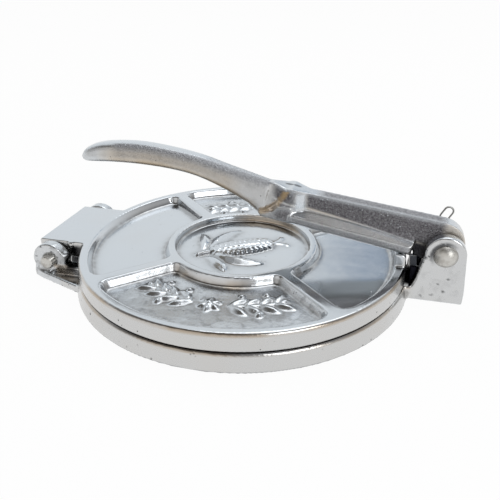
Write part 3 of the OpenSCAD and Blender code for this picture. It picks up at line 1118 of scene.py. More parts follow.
@dataclass
class EarOfMaize(Ornament):
    """Ear of maize with its husk leaves, lying aslant in the hub's recess."""

    turn: float = 32.0
    cob_length: float = 42.0
    cob_width: float = 15.0
    cob_height: float = 3.3
    rows: int = 6
    rows_spread: float = 140.0
    kernels: int = 12
    first_kernel: float = -0.86
    kernels_span: float = 1.74
    kernel_radius: float = 1.55
    kernel_height: float = 1.25
    kernel_seat: float = 0.85
    husks: tuple[Husk, ...] = (
        Husk(LeafShape(36.0, 10.0, 2.7, -48.0), 0.0, 3.0, 40.0),
        Husk(LeafShape(22.0, 8.0, 2.3, 40.0), 1.0, 4.0, 76.0),
    )
    foot: float = 2.0
    stalk: tuple[tuple[float, float], ...] = ((-6.0, -1.5), (-2.0, -0.4), (4.0, 0.0))
    stalk_radius: float = 1.8
    silk_length: float = 7.0
    silk_curl: float = 4.5
    silk_radius: float = 0.9

    def pieces(self) -> list[Piece]:
        """Models the ear.

        Returns:
            Its loose pieces.
        """
        made = [self.cob(), *self.grains(), *self.leaves()]
        aslant = Matrix.Rotation(math.radians(self.turn), 4, "Z")
        for piece in made:
            piece.data.transform(aslant)
        return made

    def cob(self) -> Piece:
        """Models the cob under the kernels."""
        radii = (self.cob_length / 2, self.cob_width / 2, self.cob_height)
        return Bench.ball((0.0, 0.0, self.floor), radii)

    def grains(self) -> list[Piece]:
        """Models the kernels, in rows along the cob, every second row half a step ahead.

        Returns:
            The kernels.
        """
        kernel = self.berry(self.kernel_radius, self.kernel_height)
        made = []
        for row in range(self.rows):
            lean = math.radians(self.rows_spread * (row / (self.rows - 1) - 0.5))
            for step in range(self.kernels):
                place = (step + 0.5 * (row % 2)) / self.kernels
                along = self.first_kernel + self.kernels_span * place
                taper = math.sqrt(max(0.0, 1 - along * along))
                copy = self.set_down(
                    kernel,
                    along * self.cob_length / 2,
                    math.sin(lean) * taper * self.cob_width / 2,
                    lift=math.cos(lean) * taper * self.cob_height * self.kernel_seat,
                )
                made.append(copy)
        bpy.data.objects.remove(kernel)
        return made

    def leaves(self) -> list[Piece]:
        """Models the husk leaves and the silk to both sides, and the stalk.

        Returns:
            The leaves, the silk and the stalk.
        """
        start = -self.cob_length / 2 - self.foot
        made = []
        for side in (-1, 1):
            for husk in self.husks:
                leaf = self.leaf(husk.shape, side)
                x, y = start + husk.ahead, side * husk.across
                made.append(self.set_down(leaf, x, y, side * husk.turn))
                bpy.data.objects.remove(leaf)
            made.append(self.stem(self.silk(side), self.silk_radius))
        stalk = [(start + ahead, across) for ahead, across in self.stalk]
        made.append(self.stem(stalk, self.stalk_radius))
        return made

    def silk(self, side: int, steps: int = 4) -> list[tuple[float, float]]:
        """Lays out one curl of silk at the cob's tip.

        Args:
            side: 1 or -1, the side that it curls to.
            steps: How many steps it has.

        Returns:
            The points of its path.
        """
        tip = self.cob_length / 2 - 1
        return [
            (tip + self.silk_length * share, side * (1.0 + self.silk_curl * share * share))
            for share in (step / steps for step in range(steps + 1))
        ]


@dataclass
class Spray(Ornament):
    """Leafy spray along a pocket, the same to both sides of a blossom."""

    radius: float = 64.5
    half_angle: float = 35.0
    stem_radius: float = 1.0
    leaf_shape: LeafShape = LeafShape(12.0, 5.6, 2.1)
    leaf_lean: float = 38.0
    pairs: int = 4
    first_pair: float = 9.0
    pair_step: float = 6.6
    berry_radius: float = 1.7
    berry_height: float = 1.9
    berry_reach: float = 8.6
    berry_lag: float = 1.0
    petals: int = 6
    petal_shape: LeafShape = LeafShape(6.6, 4.6, 2.0)
    heart_lift: float = 0.9
    end_leaf_back: float = 4.0
    end_leaf_lean: float = -6.0

    def pieces(self, azimuth: float) -> list[Piece]:
        """Models the spray.

        Args:
            azimuth: The direction of the pocket's middle, in degrees.

        Returns:
            Its loose pieces.
        """
        leaf, petal = self.leaf(self.leaf_shape), self.leaf(self.petal_shape)
        berry = self.berry(self.berry_radius, self.berry_height)
        made = self.blossom(azimuth, petal, berry)
        for side in (-1, 1):
            span = [azimuth + side * self.half_angle * share / 8 for share in range(2, 8)]
            made.append(self.stem([self.at(turn) for turn in span], self.stem_radius))
            for pair in range(self.pairs):
                turn = azimuth + side * (self.first_pair + self.pair_step * pair)
                for lean in (-self.leaf_lean, self.leaf_lean):
                    made.append(self.set_down(leaf, *self.at(turn), turn + side * 90 + lean))
                if pair:
                    reach = self.berry_reach * (-1) ** pair
                    place = self.at(turn - side * self.berry_lag, reach)
                    made.append(self.set_down(berry, *place))
            end = azimuth + side * self.half_angle
            place = self.at(end - side * self.end_leaf_back)
            made.append(self.set_down(petal, *place, end + side * (90 + self.end_leaf_lean)))
        for pattern in (leaf, petal, berry):
            bpy.data.objects.remove(pattern)
        return made

    def blossom(self, azimuth: float, petal: Piece, berry: Piece) -> list[Piece]:
        """Models the blossom in the middle of the spray.

        Args:
            azimuth: The direction of the pocket's middle, in degrees.
            petal: The petal to copy.
            berry: The berry to copy for its heart.

        Returns:
            The petals and the heart.
        """
        middle = self.at(azimuth)
        made = [
            self.set_down(petal, *middle, azimuth + 360 / self.petals * step)
            for step in range(self.petals)
        ]
        made.append(self.set_down(berry, *middle, lift=self.heart_lift))
        return made

    def at(self, turn: float, reach: float = 0.0) -> tuple[float, float]:
        """Returns the place at an azimuth in degrees, and so far outside the stem."""
        angle, radius = math.radians(turn), self.radius + reach
        return radius * math.cos(angle), radius * math.sin(angle)


# --------------------------------------------------------------------------------------
# The three castings of the press
# --------------------------------------------------------------------------------------


@dataclass(kw_only=True)
class BasePlate(Casting):
    """Lower casting, with its hinge brackets and clevis.

    Pivot and hinge are the two joints' x and z.
    """

    pivot: tuple[float, float]
    hinge: tuple[float, float]
    node: str = "base_plate"
    piece_name: str = "base_casting"
    body: Body = Body.BASE
    slot: str = "base_casting"
    finish: PlateFinish = PlateFinish("base_plating", pit_share=0.2)
    mould: Mould = Mould(voxel=0.8, passes=3, triangles=190_000)
    clevis_side: float = 12.6
    ear_side: float = 33.4
    collar_radius: float = 6.0
    collar_depth: float = 3.8
    collar_back: float = 1.6
    bore_radius: float = 4.05
    # Black blocks behind the lid: packed grease, painted black also as the shade of the clevis
    # gap.
    grease_and_shade_blocks: tuple[tuple[Place, Place], ...] = (
        ((96.6, 3.0, 9.0), (100.5, 12.6, 19.0)),
        ((96.2, 11.0, 8.0), (100.2, 14.2, 15.0)),
    )
    shoulder: tuple[Place, Place] = ((-113.0, 33.4, 4.9), (7.5, 3.0, 4.6))
    inner_swell: tuple[Place, Place] = ((-100.9, 30.3, 13.0), (2.9, 2.9, 2.9))

    brackets: Zone = Zone(x=(-140.0, -100.0, 4.0))
    clevis: Zone = Zone(x=(101.0, 130.0, 2.0), weight=0.35)

    # Painted shade: the seam, the clevis gap, the wall behind the lid, the hinge gaps and the
    # foot on the floor are darkened where shade falls; the ears are also darker beside the
    # disc.
    seam_shade: Zone = Zone(z=(9.6, 15.0, 0.3), out=(91.0, 94.6, 0.6))
    clevis_gap_shade: Zone = Zone(x=(96.0, 125.0, 2.0), y=(-6.0, 6.0, 0.5), z=(10.0, 34.0, 2.0))
    clevis_wall_shade: Zone = Zone(x=(95.5, 104.0, 1.5), y=(-8.0, 30.0, 2.0), z=(9.0, 30.0, 1.0))
    hinge_gap_shade: Zone = Zone(
        x=(-99.0, -94.0, 2.5), y=(24.0, 36.0, 1.5), z=(6.0, 20.0, 2.0), both=True, weight=0.9
    )
    ear_darkening: Zone = Zone(
        x=(-104.0, -96.0, 1.0),
        y=(27.0, 40.0, TOUCH),
        z=(9.5, 17.0, 1.0),
        both=True,
        weight=0.27,
    )
    floor_contact_shade: Zone = Zone(z=(-1.0, 0.4, 0.5), out=(94.0, 99.0, 0.5), weight=0.6)
    bevel_stain: Zone = Zone(
        x=(-90.0, 130.0, TOUCH), z=(8.7, 9.9, 0.4), out=(94.5, 99.0, 0.5), weight=0.55
    )
    ledge_stain: Zone = Zone(
        x=(-108.0, -96.0, 2.0), y=(30.0, 34.2, 1.0), z=(2.0, 8.0, 1.0), both=True, weight=0.6
    )

    clevis_pits: Pits = Pits(
        (
            (103.9, 28.9, 0.35),
            (102.6, 26.0, 0.2),
            (105.2, 30.1, 0.15),
            (116.7, 17.9, 0.2),
            (115.4, 9.7, 0.3),
            (110.1, 7.0, 0.3),
            (107.2, 12.4, 0.15),
            (104.1, 5.6, 0.2),
            (111.9, 14.2, 0.1),
        )
    )
    ear_pits: Pits = Pits(
        (
            (-114.6, 18.9, 0.35),
            (-107.9, 16.4, 0.3),
            (-106.1, 14.8, 0.45),
            (-104.7, 13.0, 0.3),
            (-104.9, 10.9, 0.2),
            (-118.4, 12.4, 0.2),
            (-117.0, 6.4, 0.15),
        )
    )

    def relief(self) -> list[Piece]:
        """Models the ears' collars and shoulders, and the grease packed behind the lid, black
        also as the gap's painted shade.

        Returns:
            The loose pieces.
        """
        made = [Bench.block(low, high) for low, high in self.grease_and_shade_blocks]
        for hand in (-1, 1):
            made += [Bench.ball(*swell, hand) for swell in (self.shoulder, self.inner_swell)]
            made.append(self.collar(hand))
        return made

    def collar(self, hand: int) -> Piece:
        """Models the ring that narrows the mouth of an ear's bore.

        Args:
            hand: 1 or -1, the side of the press.

        Returns:
            The ring.
        """
        across, (x, z) = hand * (self.ear_side - self.collar_back), self.hinge
        rods = []
        for radius, depth in (
            (self.collar_radius, self.collar_depth),
            (self.bore_radius, self.collar_depth * 2 + 0.4),
        ):
            Bench.clear()
            bpy.ops.mesh.primitive_cylinder_add(
                vertices=64,
                radius=radius * MM,
                depth=depth * MM,
                location=(x * MM, across * MM, z * MM),
                rotation=(math.pi / 2, 0.0, 0.0),
            )
            Bench.settle(bpy.context.object)
            rods.append(bpy.context.object)
        ring, core = rods
        Bench.cut(ring, core)
        return ring

    def cast_share(self, points: np.ndarray, normals: np.ndarray) -> np.ndarray:
        """Returns how uneven the plated skin is: more on the brackets and the clevis."""
        return Zone.most(points, self.brackets, self.clevis)

    def wall_share(self, points: np.ndarray, normals: np.ndarray) -> np.ndarray:
        """Returns how much of a satin wall each point is: less on brackets and clevis."""
        uneven = self.cast_share(points, normals)
        return super().wall_share(points, normals) * (1 - 0.6 * uneven)

    def head_shadow(self, points: np.ndarray) -> np.ndarray:
        """Returns the painted shadow on the front ear, above and behind the pin's head."""
        across, above = points[:, 0] - self.pivot[0], points[:, 2] - self.pivot[1]
        ring = band(np.hypot(across, above), 6.2, 7.6, 0.8) * rise(above - across, -0.8, 7.2)
        return ring * (points[:, 1] < 0.6 - self.clevis_side) * 0.85

    def shade_and_grime_share(self, points: np.ndarray) -> np.ndarray:
        """Paints shade along the seam, between the clevis ears, beside the pins and along the
        foot, with black pits and the pin head's painted shadow.

        Args:
            points: The casting's points, in millimetres.

        Returns:
            Each point's share, from 0 to 1.
        """
        zones = (
            self.seam_shade,
            self.clevis_gap_shade,
            self.clevis_wall_shade,
            self.hinge_gap_shade,
            self.ear_darkening,
            self.floor_contact_shade,
        )
        spots = (
            self.clevis_pits.share(points, self.clevis_side),
            self.ear_pits.share(points, self.ear_side),
            self.head_shadow(points),
        )
        return np.maximum.reduce([Zone.most(points, *zones), *spots])

    def stain_share(self, points: np.ndarray, normals: np.ndarray) -> np.ndarray:
        """Returns the yellowing: on the bevel under the seam and on the ears' wall."""
        return Zone.most(points, self.bevel_stain, self.ledge_stain)


@dataclass
class LidPlate(Casting):
    """Upper casting, with its wheel pattern, knuckle, press pad and ornament."""

    node: str = "lid_plate"
    piece_name: str = "lid_casting"
    body: Body = Body.LID
    slot: str = "lid_casting"
    finish: PlateFinish = PlateFinish("lid_plating")
    mould: Mould = Mould(voxel=0.7, passes=3, triangles=195_000, fillet=8)
    top: float = 20.3
    pocket_floor: float = 15.3
    hub_floor: float = 15.8
    hub_inside: float = 40.0
    hub_outside: float = 46.2
    rim_inside: float = 87.4
    spoke_side: float = 5.4
    corner: float = 3.4
    corner_foot: float = 2.75
    corner_mouth: float = 6.0
    corner_length: float = 7.0
    knuckle_swell: tuple[Place, Place] = ((-99.1, 26.2, 18.6), (1.8, 1.8, 1.8))

    # Painted shade: the seam, the gap by the press pad and the knuckle's gap are darkened
    # where shade falls.
    seam_shade: Zone = Zone(x=(-97.0, 120.0, 1.0), z=(0.0, 10.6, 0.3), out=(91.0, 130.0, 0.6))
    pad_gap_shade: Zone = Zone(x=(94.6, 100.0, 0.6), y=(-7.0, 16.0, 2.0), z=(10.0, 20.6, 0.8))
    knuckle_gap_shade: Zone = Zone(
        x=(-99.0, -92.0, 2.0), y=(26.0, 40.0, 1.0), z=(8.0, 17.0, 2.0), both=True, weight=0.9
    )
    side_stain: Zone = Zone(
        x=(-88.0, 130.0, TOUCH), z=(18.8, 19.9, 0.6), out=(94.2, 98.0, 0.4), weight=0.65
    )
    hub_inside_stain: Zone = Zone(
        x=(-5.0, 25.0, 12.0), z=(16.5, 19.5, 1.0), out=(38.5, 41.5, 1.0), weight=0.6
    )
    hub_outside_stain: Zone = Zone(
        x=(-22.0, 8.0, 10.0),
        y=(-99.0, 0.0, TOUCH),
        z=(15.6, 19.4, 0.8),
        out=(45.0, 48.6, 0.8),
        weight=0.5,
    )

    def relief(self) -> list[Piece]:
        """Models the pockets' corner fillets, the ear of maize and the sprays.

        Returns:
            The loose pieces.
        """
        spray = Spray(self.pocket_floor)
        return [
            self.corner_fillets(),
            *(Bench.ball(*self.knuckle_swell, hand) for hand in (-1, 1)),
            *EarOfMaize(self.hub_floor).pieces(),
            *spray.pieces(270.0),
            *spray.pieces(90.0),
        ]

    def corner_fillets(self) -> Piece:
        """Models the fillets that round the pockets' corners in plan.

        Returns:
            All sixteen as one piece.
        """
        blocks, cones = [], []
        for reach, outward in (
            (self.rim_inside - self.corner, 1),
            (self.hub_outside + self.corner, -1),
        ):
            for spoke in range(4):
                aslant = Matrix.Rotation(math.radians(45 + 90 * spoke), 4, "Z")
                for hand in (-1, 1):
                    block, cone = self.corner_fillet(reach, outward, hand)
                    block.data.transform(aslant)
                    cone.data.transform(aslant)
                    blocks.append(block)
                    cones.append(cone)
        fillets = Bench.join(blocks, "corner_fillets")
        Bench.cut(fillets, Bench.join(cones, "corner_cones"))
        return fillets

    def corner_fillet(self, reach: float, outward: int, hand: int) -> tuple[Piece, Piece]:
        """Models one corner's block and the cone that hollows it, on a spoke along +X.

        Args:
            reach: The distance of the corner's middle from the hub's.
            outward: 1 where the corner points to the rim, and -1 to the hub.
            hand: The side of the spoke.

        Returns:
            The block and the cone.
        """
        low, high = self.pocket_floor - 1.5, self.top + 1.0
        side = self.spoke_side + self.corner
        along = math.sqrt(reach * reach - side * side)
        across = sorted((hand * 1.0, hand * side))
        ends = sorted((along, along + outward * self.corner_length))
        block = Bench.block((ends[0], across[0], low), (ends[1], across[1], self.top))
        bpy.ops.mesh.primitive_cone_add(
            vertices=48,
            radius1=self.corner_foot * MM,
            radius2=self.corner_mouth * MM,
            depth=(high - low) * MM,
            location=(along * MM, hand * side * MM, (high + low) / 2 * MM),
        )
        cone = bpy.context.object
        Bench.settle(cone)
        return block, cone

    def soft_share(self, points: np.ndarray) -> np.ndarray:
        """Finds the foot of the walls of the pattern.

        Args:
            points: The casting's points, in millimetres.

        Returns:
            Each point's share, from 0 to 1.
        """
        x, y, z = points.T
        out = np.hypot(x, y)
        across = np.abs(np.abs(x) - np.abs(y)) / math.sqrt(2)
        rings = (self.hub_inside, self.hub_outside, self.rim_inside)
        walls = [np.abs(out - ring) for ring in rings]
        spoke = np.abs(across - self.spoke_side)
        walls.append(np.where(out > self.hub_outside, spoke, np.inf))
        near = rise(np.minimum.reduce(walls), 3.2, 1.7) * band(out, 0, self.rim_inside + 2, 1)
        return near * rise(z, self.top - 1.4, self.top - 2.9) * (z > 14)

    def wall_share(self, points: np.ndarray, normals: np.ndarray) -> np.ndarray:
        """Returns how much of a satin wall each point is: only the lid's outer side is."""
        out = np.hypot(points[:, 0], points[:, 1])
        return super().wall_share(points, normals) * rise(out, 92.5, 94)

    def cast_share(self, points: np.ndarray, normals: np.ndarray) -> np.ndarray:
        """Returns how uneven the plated skin is: more in the pockets with a spray."""
        x, y, z = points.T
        pocket = band(np.hypot(x, y), 48, 86, 2) * rise(np.abs(y) - np.abs(x), 0, 6)
        return pocket * (z < self.top - 1) * np.where(y < 0, 0.8, 0.5)

    def shade_and_grime_share(self, points: np.ndarray) -> np.ndarray:
        """Returns the painted shade: along the seam, by the press pad and by the knuckle."""
        return Zone.most(points, self.seam_shade, self.pad_gap_shade, self.knuckle_gap_shade)

    def stain_share(self, points: np.ndarray, normals: np.ndarray) -> np.ndarray:
        """Returns the yellowing: round the side's top edge and on the hub's walls."""
        zones = (self.side_stain, self.hub_inside_stain, self.hub_outside_stain)
        return Zone.most(points, *zones)


@dataclass(kw_only=True)
class Lever(Casting):
    """Lever casting: raw web between a plated foot and top rail, and a satin grip.

    Pivot is its joint's x and z. The foot's zones measure z from where it meets the web.
    """

    pivot: tuple[float, float]
    node: str = "lever"
    piece_name: str = "lever_casting"
    body: Body = Body.LEVER
    slot: str = "lever_casting"
    finish: PlateFinish = PlateFinish(
        "lever_plating",
        warm=(0.62, 0.575, 0.51),
        stain=(0.50, 0.38, 0.24),
        raw_light=(0.34, 0.335, 0.35),
        raw_and_shade_dark=(0.13, 0.125, 0.135),
        polish=0.16,
        satin=0.3,
        pit_share=0.08,
        cast_roughness=0.2,
        hollow_shade_share=0.15,
        clouds=0.1,
    )
    mould: Mould = Mould(voxel=0.55, passes=3, triangles=160_000, fillet=10)
    neck_end: float = 17.0
    tip_end: float = -80.0
    foot_start: tuple[float, float] = (51.0, 44.0)
    foot_fall: float = 0.233
    web_end: tuple[Place, Place] = ((97.4, -4.2, 25.3), (103.0, 4.2, 31.0))
    ridge_radius: float = 1.0
    ridge: tuple[Place, ...] = (
        (27.0, 7.4, 57.2),
        (25.2, 7.5, 54.0),
        (21.8, 6.4, 49.4),
        (18.4, 6.2, 46.6),
        (14.8, 6.8, 44.9),
        (11.2, 8.2, 44.2),
    )

    column: Zone = Zone(x=(33.0, 36.5, 2.6), y=(4.4, 9.0, 0.5), z=(0.0, 55.0, 3.0), both=True)
    column_fillet: Zone = Zone(x=(26.0, 42.0, 2.0), y=(4.2, 8.6, 0.6), both=True)
    foot_fillet: Zone = Zone(
        x=(34.0, 98.0, 3.0), y=(3.6, 7.0, 0.8), z=(-2.5, 2.0, 1.0), both=True
    )
    foot: Zone = Zone(x=(29.0, 98.0, 3.0), z=(-9.0, -0.4, 0.6))
    dents_at: tuple[float, ...] = (27.2, 31.6)

    def relief(self) -> list[Piece]:
        """Models the ridges at the neck's foot and the web's end behind the foot.

        Returns:
            The loose pieces.
        """
        made = [Bench.block(*self.web_end)]
        for hand in (-1, 1):
            path = [(x, hand * y, z) for x, y, z in self.ridge]
            made.append(Bench.bead(path, self.ridge_radius))
        return made

    def from_foot(self, points: np.ndarray) -> np.ndarray:
        """Measures z from the line where the web meets the foot.

        Args:
            points: The casting's points, in millimetres.

        Returns:
            A copy of the points.
        """
        start, height = self.foot_start
        measured = points.copy()
        measured[:, 2] -= height - (points[:, 0] - start) * self.foot_fall
        return measured

    def soft_share(self, points: np.ndarray) -> np.ndarray:
        """Returns how far each point lies between web and foot, or beside the column."""
        foot = self.foot_fillet.share(self.from_foot(points))
        return np.maximum(foot, self.column_fillet.share(points))

    def wall_share(self, points: np.ndarray, normals: np.ndarray) -> np.ndarray:
        """Finds the satin walls: all but the grip's tip and the column.

        Args:
            points: The casting's points, in millimetres.
            normals: The normals at them.

        Returns:
            Each point's share, from 0 to 1.
        """
        x, foot = points[:, 0], self.foot.share(self.from_foot(points))
        walls = np.maximum(super().wall_share(points, normals) * (1 - foot), foot * 0.4)
        neck = band(x, 2, self.neck_end + 9, 10) * 0.7
        tip = rise(x, self.tip_end - 6, self.tip_end + 4)
        return walls * (1 - neck) * tip * (1 - self.column.share(points))

    def cast_share(self, points: np.ndarray, normals: np.ndarray) -> np.ndarray:
        """Returns how uneven the plated skin is: on the flanks of grip, neck and foot."""
        flank = rise(normals[:, 2], 0.9, 0.6) * (1 - self.column.share(points))
        return flank * np.where(points[:, 0] > 30, 0.4, 1.0)

    def rough_share(self, points: np.ndarray, normals: np.ndarray) -> np.ndarray:
        """Returns how raw the skin is: on the arm's cheeks and beside the grip's crest."""
        return np.maximum(self.raw_arm(points, normals), self.raw_grip(points, normals))

    def raw_arm(self, points: np.ndarray, normals: np.ndarray) -> np.ndarray:
        """Finds the arm's raw skin, painted dark also as the web's shade: its web, the foot's
        sides and the rail on top.

        Args:
            points: The casting's points, in millimetres.
            normals: The normals at them.

        Returns:
            Each point's share, from 0 to 1.
        """
        x, above = points[:, 0], self.from_foot(points)[:, 2]
        sheer, up = np.abs(normals[:, 1]), normals[:, 2]
        web = rise(sheer, 0.35, 0.65) * rise(above, 0.9, 1.7)
        side = rise(sheer, 0.85, 0.95) * rise(above, 0.4, -0.4) * 0.85
        rail = rise(up, 0.6, 0.9) * rise(x, 42, 48) * (above > 2) * 0.9
        arm = np.maximum(web, side) * rise(x, self.neck_end, self.neck_end + 5)
        arm = np.maximum(arm, rail) * (1 - self.column.share(points))
        return arm * (1 - band(x, 114, 140, 4) * 0.9)

    def raw_grip(self, points: np.ndarray, normals: np.ndarray) -> np.ndarray:
        """Finds the grip's raw skin, below its worn crest, which narrows to the neck.

        Args:
            points: The casting's points, in millimetres.
            normals: The normals at them.

        Returns:
            Each point's share, from 0 to 1.
        """
        x, up = points[:, 0], normals[:, 2]
        crest = 0.94 + 0.05 * rise(x, -40, -5)
        shoulder = rise(up, crest, crest - 0.06) * rise(up, -0.05, 0.7) ** 1.5
        return shoulder * band(x, self.tip_end + 8, self.neck_end, 5) * 0.9

    def shade_and_grime_share(self, points: np.ndarray) -> np.ndarray:
        """Paints shade on the heel between the clevis ears, and blackens two small dents of
        the block's top.

        Args:
            points: The casting's points, in millimetres.

        Returns:
            Each point's share, from 0 to 1.
        """
        x, y, z = points.T
        # Painted shade on the heel, where it sits between the clevis ears.
        heel = band(self.pivot[0] - x, -9, 17, 2.5) * band(z - self.pivot[1], -20, 2, 3)
        dents = [band(np.hypot((x - at) / 1.8, y - 1), -1, 1, 0.6) for at in self.dents_at]
        dents = np.maximum.reduce(dents) * (z > 56)
        return np.maximum(heel * (np.abs(y) < 6) * 0.9, dents * 0.75)

    def stain_share(self, points: np.ndarray, normals: np.ndarray) -> np.ndarray:
        """Yellows the plating along the neck's ridges and low on the grip.

        Args:
            points: The casting's points, in millimetres.
            normals: The normals at them.

        Returns:
            Each point's share, from 0 to 1.
        """
        (x, y, z), up = points.T, normals[:, 2]
        spine = np.array(self.ridge)
        middles = (spine[:-1] + spine[1:]) / 2
        near = [np.hypot(x - at_x, z - at_z) for at_x, _, at_z in (*spine[:-1], *middles)]
        ridge = rise(np.minimum.reduce(near), 2.3, 1.1) * (np.abs(y) > 5.4) * (z < 57)
        low = rise(up, 0.35, -0.05) * band(x, -72, -34, 8) * 0.45
        under = rise(up, 0.1, -0.2) * band(x, -60, 8, 6) * 0.7
        return np.maximum.reduce([ridge, low, under])


# --------------------------------------------------------------------------------------
# Pins
# --------------------------------------------------------------------------------------


@dataclass(frozen=True)
class Pin:
    """A pin, as the merged copy of its node, with the body that it stays in."""

    node: str
    body: Body
    finish: SteelFinish
    smooth_below: float = 32.0

    def build(self, node: Piece, material: bpy.types.Material) -> None:
        """Dresses the pin.

        Args:
            node: The frame's CAD node.
            material: The finish's material.
        """
        piece = Bench.twin(node, f"{self.node}_steel")
        Bench.outward(piece)
        Bench.smooth(piece, self.smooth_below)
        piece.data.materials.append(material)
        put_in_place(piece, self.node, self.body)


@dataclass
class Pins:
    """The two pivot pins, turned, and the split pin, of drawn wire."""

    turned: SteelFinish = SteelFinish(
        name="pin_steel",
        colour=(0.58, 0.57, 0.54),
        dull=(0.45, 0.43, 0.40),
        roughness=0.4,
        ring_size=0.5,
    )
    wire: SteelFinish = SteelFinish(
        name="wire_steel",
        colour=(0.42, 0.42, 0.41),
        dull=(0.25, 0.24, 0.23),
        roughness=0.35,
        ring_size=0.8,
    )

    def build(self, nodes: dict[str, Piece]) -> None:
        """Dresses the pins.

        Args:
            nodes: The frame's CAD nodes by name.
        """
        materials = {finish: finish.material() for finish in (self.turned, self.wire)}
        for pin in (
            Pin("hinge_pin", Body.LID, self.turned),
            Pin("lever_pin", Body.BASE, self.turned),
            Pin("cotter_pin", Body.BASE, self.wire),
        ):
            pin.build(nodes[pin.node], materials[pin.finish])


# --------------------------------------------------------------------------------------
# Studio
# --------------------------------------------------------------------------------------


@dataclass(frozen=True)
class Softbox:
    """One square area lamp that looks at the press, in metres."""

    name: str
    place: Place
    side: float
    power: float
    colour: Colour = (1.0, 1.0, 1.0)

    def build(self, aim: Vector) -> None:
        """Hangs the lamp and turns it to a point.

        Args:
            aim: The point that it looks at.
        """
        lamp = bpy.data.lights.new(self.name, "AREA")
        lamp.shape = "SQUARE"
        lamp.size = self.side
        lamp.energy = self.power
        lamp.color = self.colour
        held = bpy.data.objects.new(self.name, lamp)
        held.location = self.place
        held.rotation_euler = (aim - Vector(self.place)).to_track_quat("-Z", "Y").to_euler()
        bpy.context.scene.collection.objects.link(held)


@dataclass(frozen=True)
class SkyPatch:
    """Soft patch of sky, in degrees from +X and above the floor.

    Its spread is where it has faded out. Where levels are given, it also ends softly at
    those heights of the sky, as shares of 1.
    """

    azimuth: float
    elevation: float
    spread: float
    share: float
    colour: Colour
    levels: tuple[float, float] | None = None
    fade: float = 0.02

    def over(self, graph: Graph, way: Value, height: Value, colour: Value) -> Value:
        """Lays the patch over a sky.

        Args:
            graph: The world's graph.
            way: The direction that is looked at.
            height: How high it points, as a share of 1.
            colour: The sky's colour so far.

        Returns:
            The colour with the patch.
        """
        share = graph.lobe(way, self.azimuth, self.elevation, self.spread) * self.share
        if self.levels is not None:
            low, high = self.levels
            share = share * height.step(low - self.fade, low + self.fade)
            share = share * height.step(high + self.fade, high - self.fade)
        return graph.blend(share, colour, self.colour)


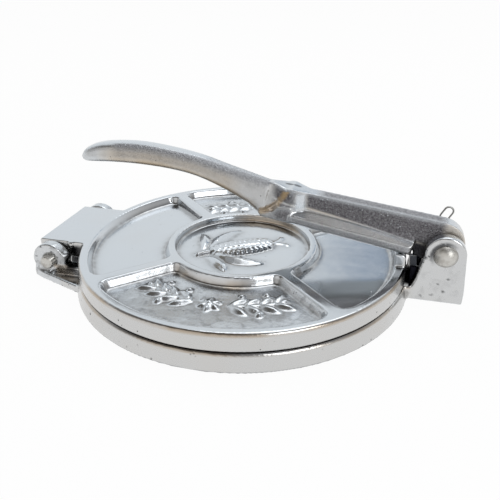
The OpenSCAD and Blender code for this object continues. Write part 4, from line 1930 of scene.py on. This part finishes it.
@dataclass
class Studio:
    """Pale floor, soft lamps, the sky and the camera. The camera's place is millimetres."""

    camera_place: Place = (78.2, -287.0, 164.9)
    azimuth: float = 14.4
    elevation: float = 26.84
    lens: float = 39.83
    clip: tuple[float, float] = (0.01, 50.0)
    floor_side: float = 24.0
    paper: Colour = (0.86, 0.86, 0.87)
    paper_glow: float = 0.96
    shadows: tuple[tuple[Place, float], ...] = (
        ((0.0, 0.0, 0.0), 96.0),
        ((-101.0, 0.0, 0.0), 20.0),
    )
    boxes: tuple[Softbox, ...] = (
        Softbox("overhead", (0.2, 0.5, 1.5), 1.2, 6.0),
        Softbox("key", (0.85, -0.75, 0.72), 0.7, 4.5, (0.97, 0.99, 1.0)),
    )
    aim: Place = (0.0, 0.0, 0.03)
    low_sky: Colour = (0.68, 0.66, 0.64)
    high_sky: Colour = (0.32, 0.32, 0.33)
    back: SkyPatch = SkyPatch(108.0, 12.0, 95.0, 1.0, (0.95, 0.98, 1.0))
    blue_flag: SkyPatch = SkyPatch(82.0, 27.0, 16.0, 0.85, (0.20, 0.29, 0.42), (0.405, 0.5))
    dark_front: SkyPatch = SkyPatch(-135.0, 48.0, 50.0, 0.92, (0.10, 0.085, 0.07))
    low_front: SkyPatch = SkyPatch(-115.0, 12.0, 45.0, 0.9, (0.98, 0.96, 0.94))

    def build(self) -> None:
        """Sets up the whole studio."""
        self.camera()
        self.sky()
        self.floor()
        for box in self.boxes:
            box.build(Vector(self.aim))

    def camera(self) -> None:
        """Makes the camera and hands it to the scene."""
        lens = bpy.data.cameras.new("camera")
        lens.lens = self.lens
        lens.clip_start, lens.clip_end = self.clip
        camera = bpy.data.objects.new("camera", lens)
        turn, tilt = math.radians(self.azimuth), math.radians(self.elevation)
        right = Vector((math.cos(turn), math.sin(turn), 0.0))
        back = Vector(
            (math.sin(turn) * math.cos(tilt), -math.cos(turn) * math.cos(tilt), math.sin(tilt))
        )
        axes = Matrix((right, back.cross(right), back)).transposed()
        place = Matrix.Translation(Vector(self.camera_place) * MM)
        camera.matrix_world = place @ axes.to_4x4()
        bpy.context.scene.collection.objects.link(camera)
        bpy.context.scene.camera = camera

    @staticmethod
    def seen(graph: Graph) -> Value:
        """Finds the rays that show the background: straight, glossy or through glass.

        Args:
            graph: The graph that asks.

        Returns:
            1 or 0.
        """
        rays = [
            graph.add("ShaderNodeLightPath", output=name)
            for name in ("Is Camera Ray", "Is Glossy Ray", "Is Transmission Ray")
        ]
        return rays[0].most(rays[1]).most(rays[2])

    def sky(self) -> None:
        """Lights the world: pale behind the press, dimmer overhead, dark to the front left.

        Straight rays see plain white, and so do mirrored ones near the horizon.
        """
        world = bpy.data.worlds.new("studio")
        world.use_nodes = True
        bpy.context.scene.world = world
        graph = Graph(world.node_tree)
        way = graph.add("ShaderNodeTexCoord", output="Generated")
        height = graph.add("ShaderNodeSeparateXYZ", None, {0: way}, "Z")
        colour = graph.blend(height.step(0.15, 0.75), self.low_sky, self.high_sky)
        for patch in (self.back, self.blue_flag, self.dark_front, self.low_front):
            colour = patch.over(graph, way, height, colour)
        straight = graph.add("ShaderNodeLightPath", output="Is Camera Ray")
        plain = straight.most(self.seen(graph) * height.step(0.2, 0.03))
        colour = graph.blend(plain, colour, WHITE)
        light = graph.add("ShaderNodeBackground", None, {"Color": colour, "Strength": 1.0})
        graph.add("ShaderNodeOutputWorld", None, {"Surface": light}, None)

    def shadow(self, graph: Graph) -> Value:
        """Darkens the floor under the press, where no light reaches it.

        Args:
            graph: The floor's graph.

        Returns:
            A share from 0 to 1.
        """
        point = graph.place()
        shadow: Value | float = 0.0
        for middle, size in self.shadows:
            away = graph.vector_maths("DISTANCE", point, middle)
            shadow = away.step(size, size * 0.9).most(shadow)
        return shadow

    def floor(self) -> None:
        """Lays the pale floor, which stays white but keeps the press's shadow."""
        Bench.clear()
        bpy.ops.mesh.primitive_plane_add(size=self.floor_side, location=(0, 0, 0))
        floor = bpy.context.object
        floor.name = "floor"
        paper, graph = new_material("pale_paper")
        matt = graph.add("ShaderNodeBsdfDiffuse", None, {"Color": (*self.paper, 1.0)})
        white = {"Color": (*WHITE, 1.0), "Strength": 1.0}
        glow = graph.add("ShaderNodeEmission", None, white)
        share = self.seen(graph) * (1 - self.shadow(graph)) * self.paper_glow
        mixed = graph.add("ShaderNodeMixShader", None, {0: share, 1: matt, 2: glow})
        graph.add("ShaderNodeOutputMaterial", None, {"Surface": mixed}, None)
        floor.data.materials.append(paper)


# --------------------------------------------------------------------------------------
# The whole scene
# --------------------------------------------------------------------------------------


def joint_at(frame: dict[str, Any], name: str) -> tuple[float, float]:
    """Returns a joint's x and z, in millimetres."""
    place = next(joint["pos_m"] for joint in frame["joints"] if joint["name"] == name)
    return place[0] / MM, place[2] / MM


def main() -> None:
    """Builds the dressed press and its studio."""
    logging.basicConfig(level=logging.INFO, format="%(name)s: %(message)s")
    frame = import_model()
    bpy.context.scene.view_settings.view_transform = "Standard"
    Studio().build()
    nodes = frame["nodes"]
    pivot, hinge = joint_at(frame, "lever_pivot"), joint_at(frame, "lid_hinge")
    BasePlate(pivot=pivot, hinge=hinge).build(nodes)
    LidPlate().build(nodes)
    Lever(pivot=pivot).build(nodes)
    Pins().build(nodes)


if __name__ == "__main__":
    main()
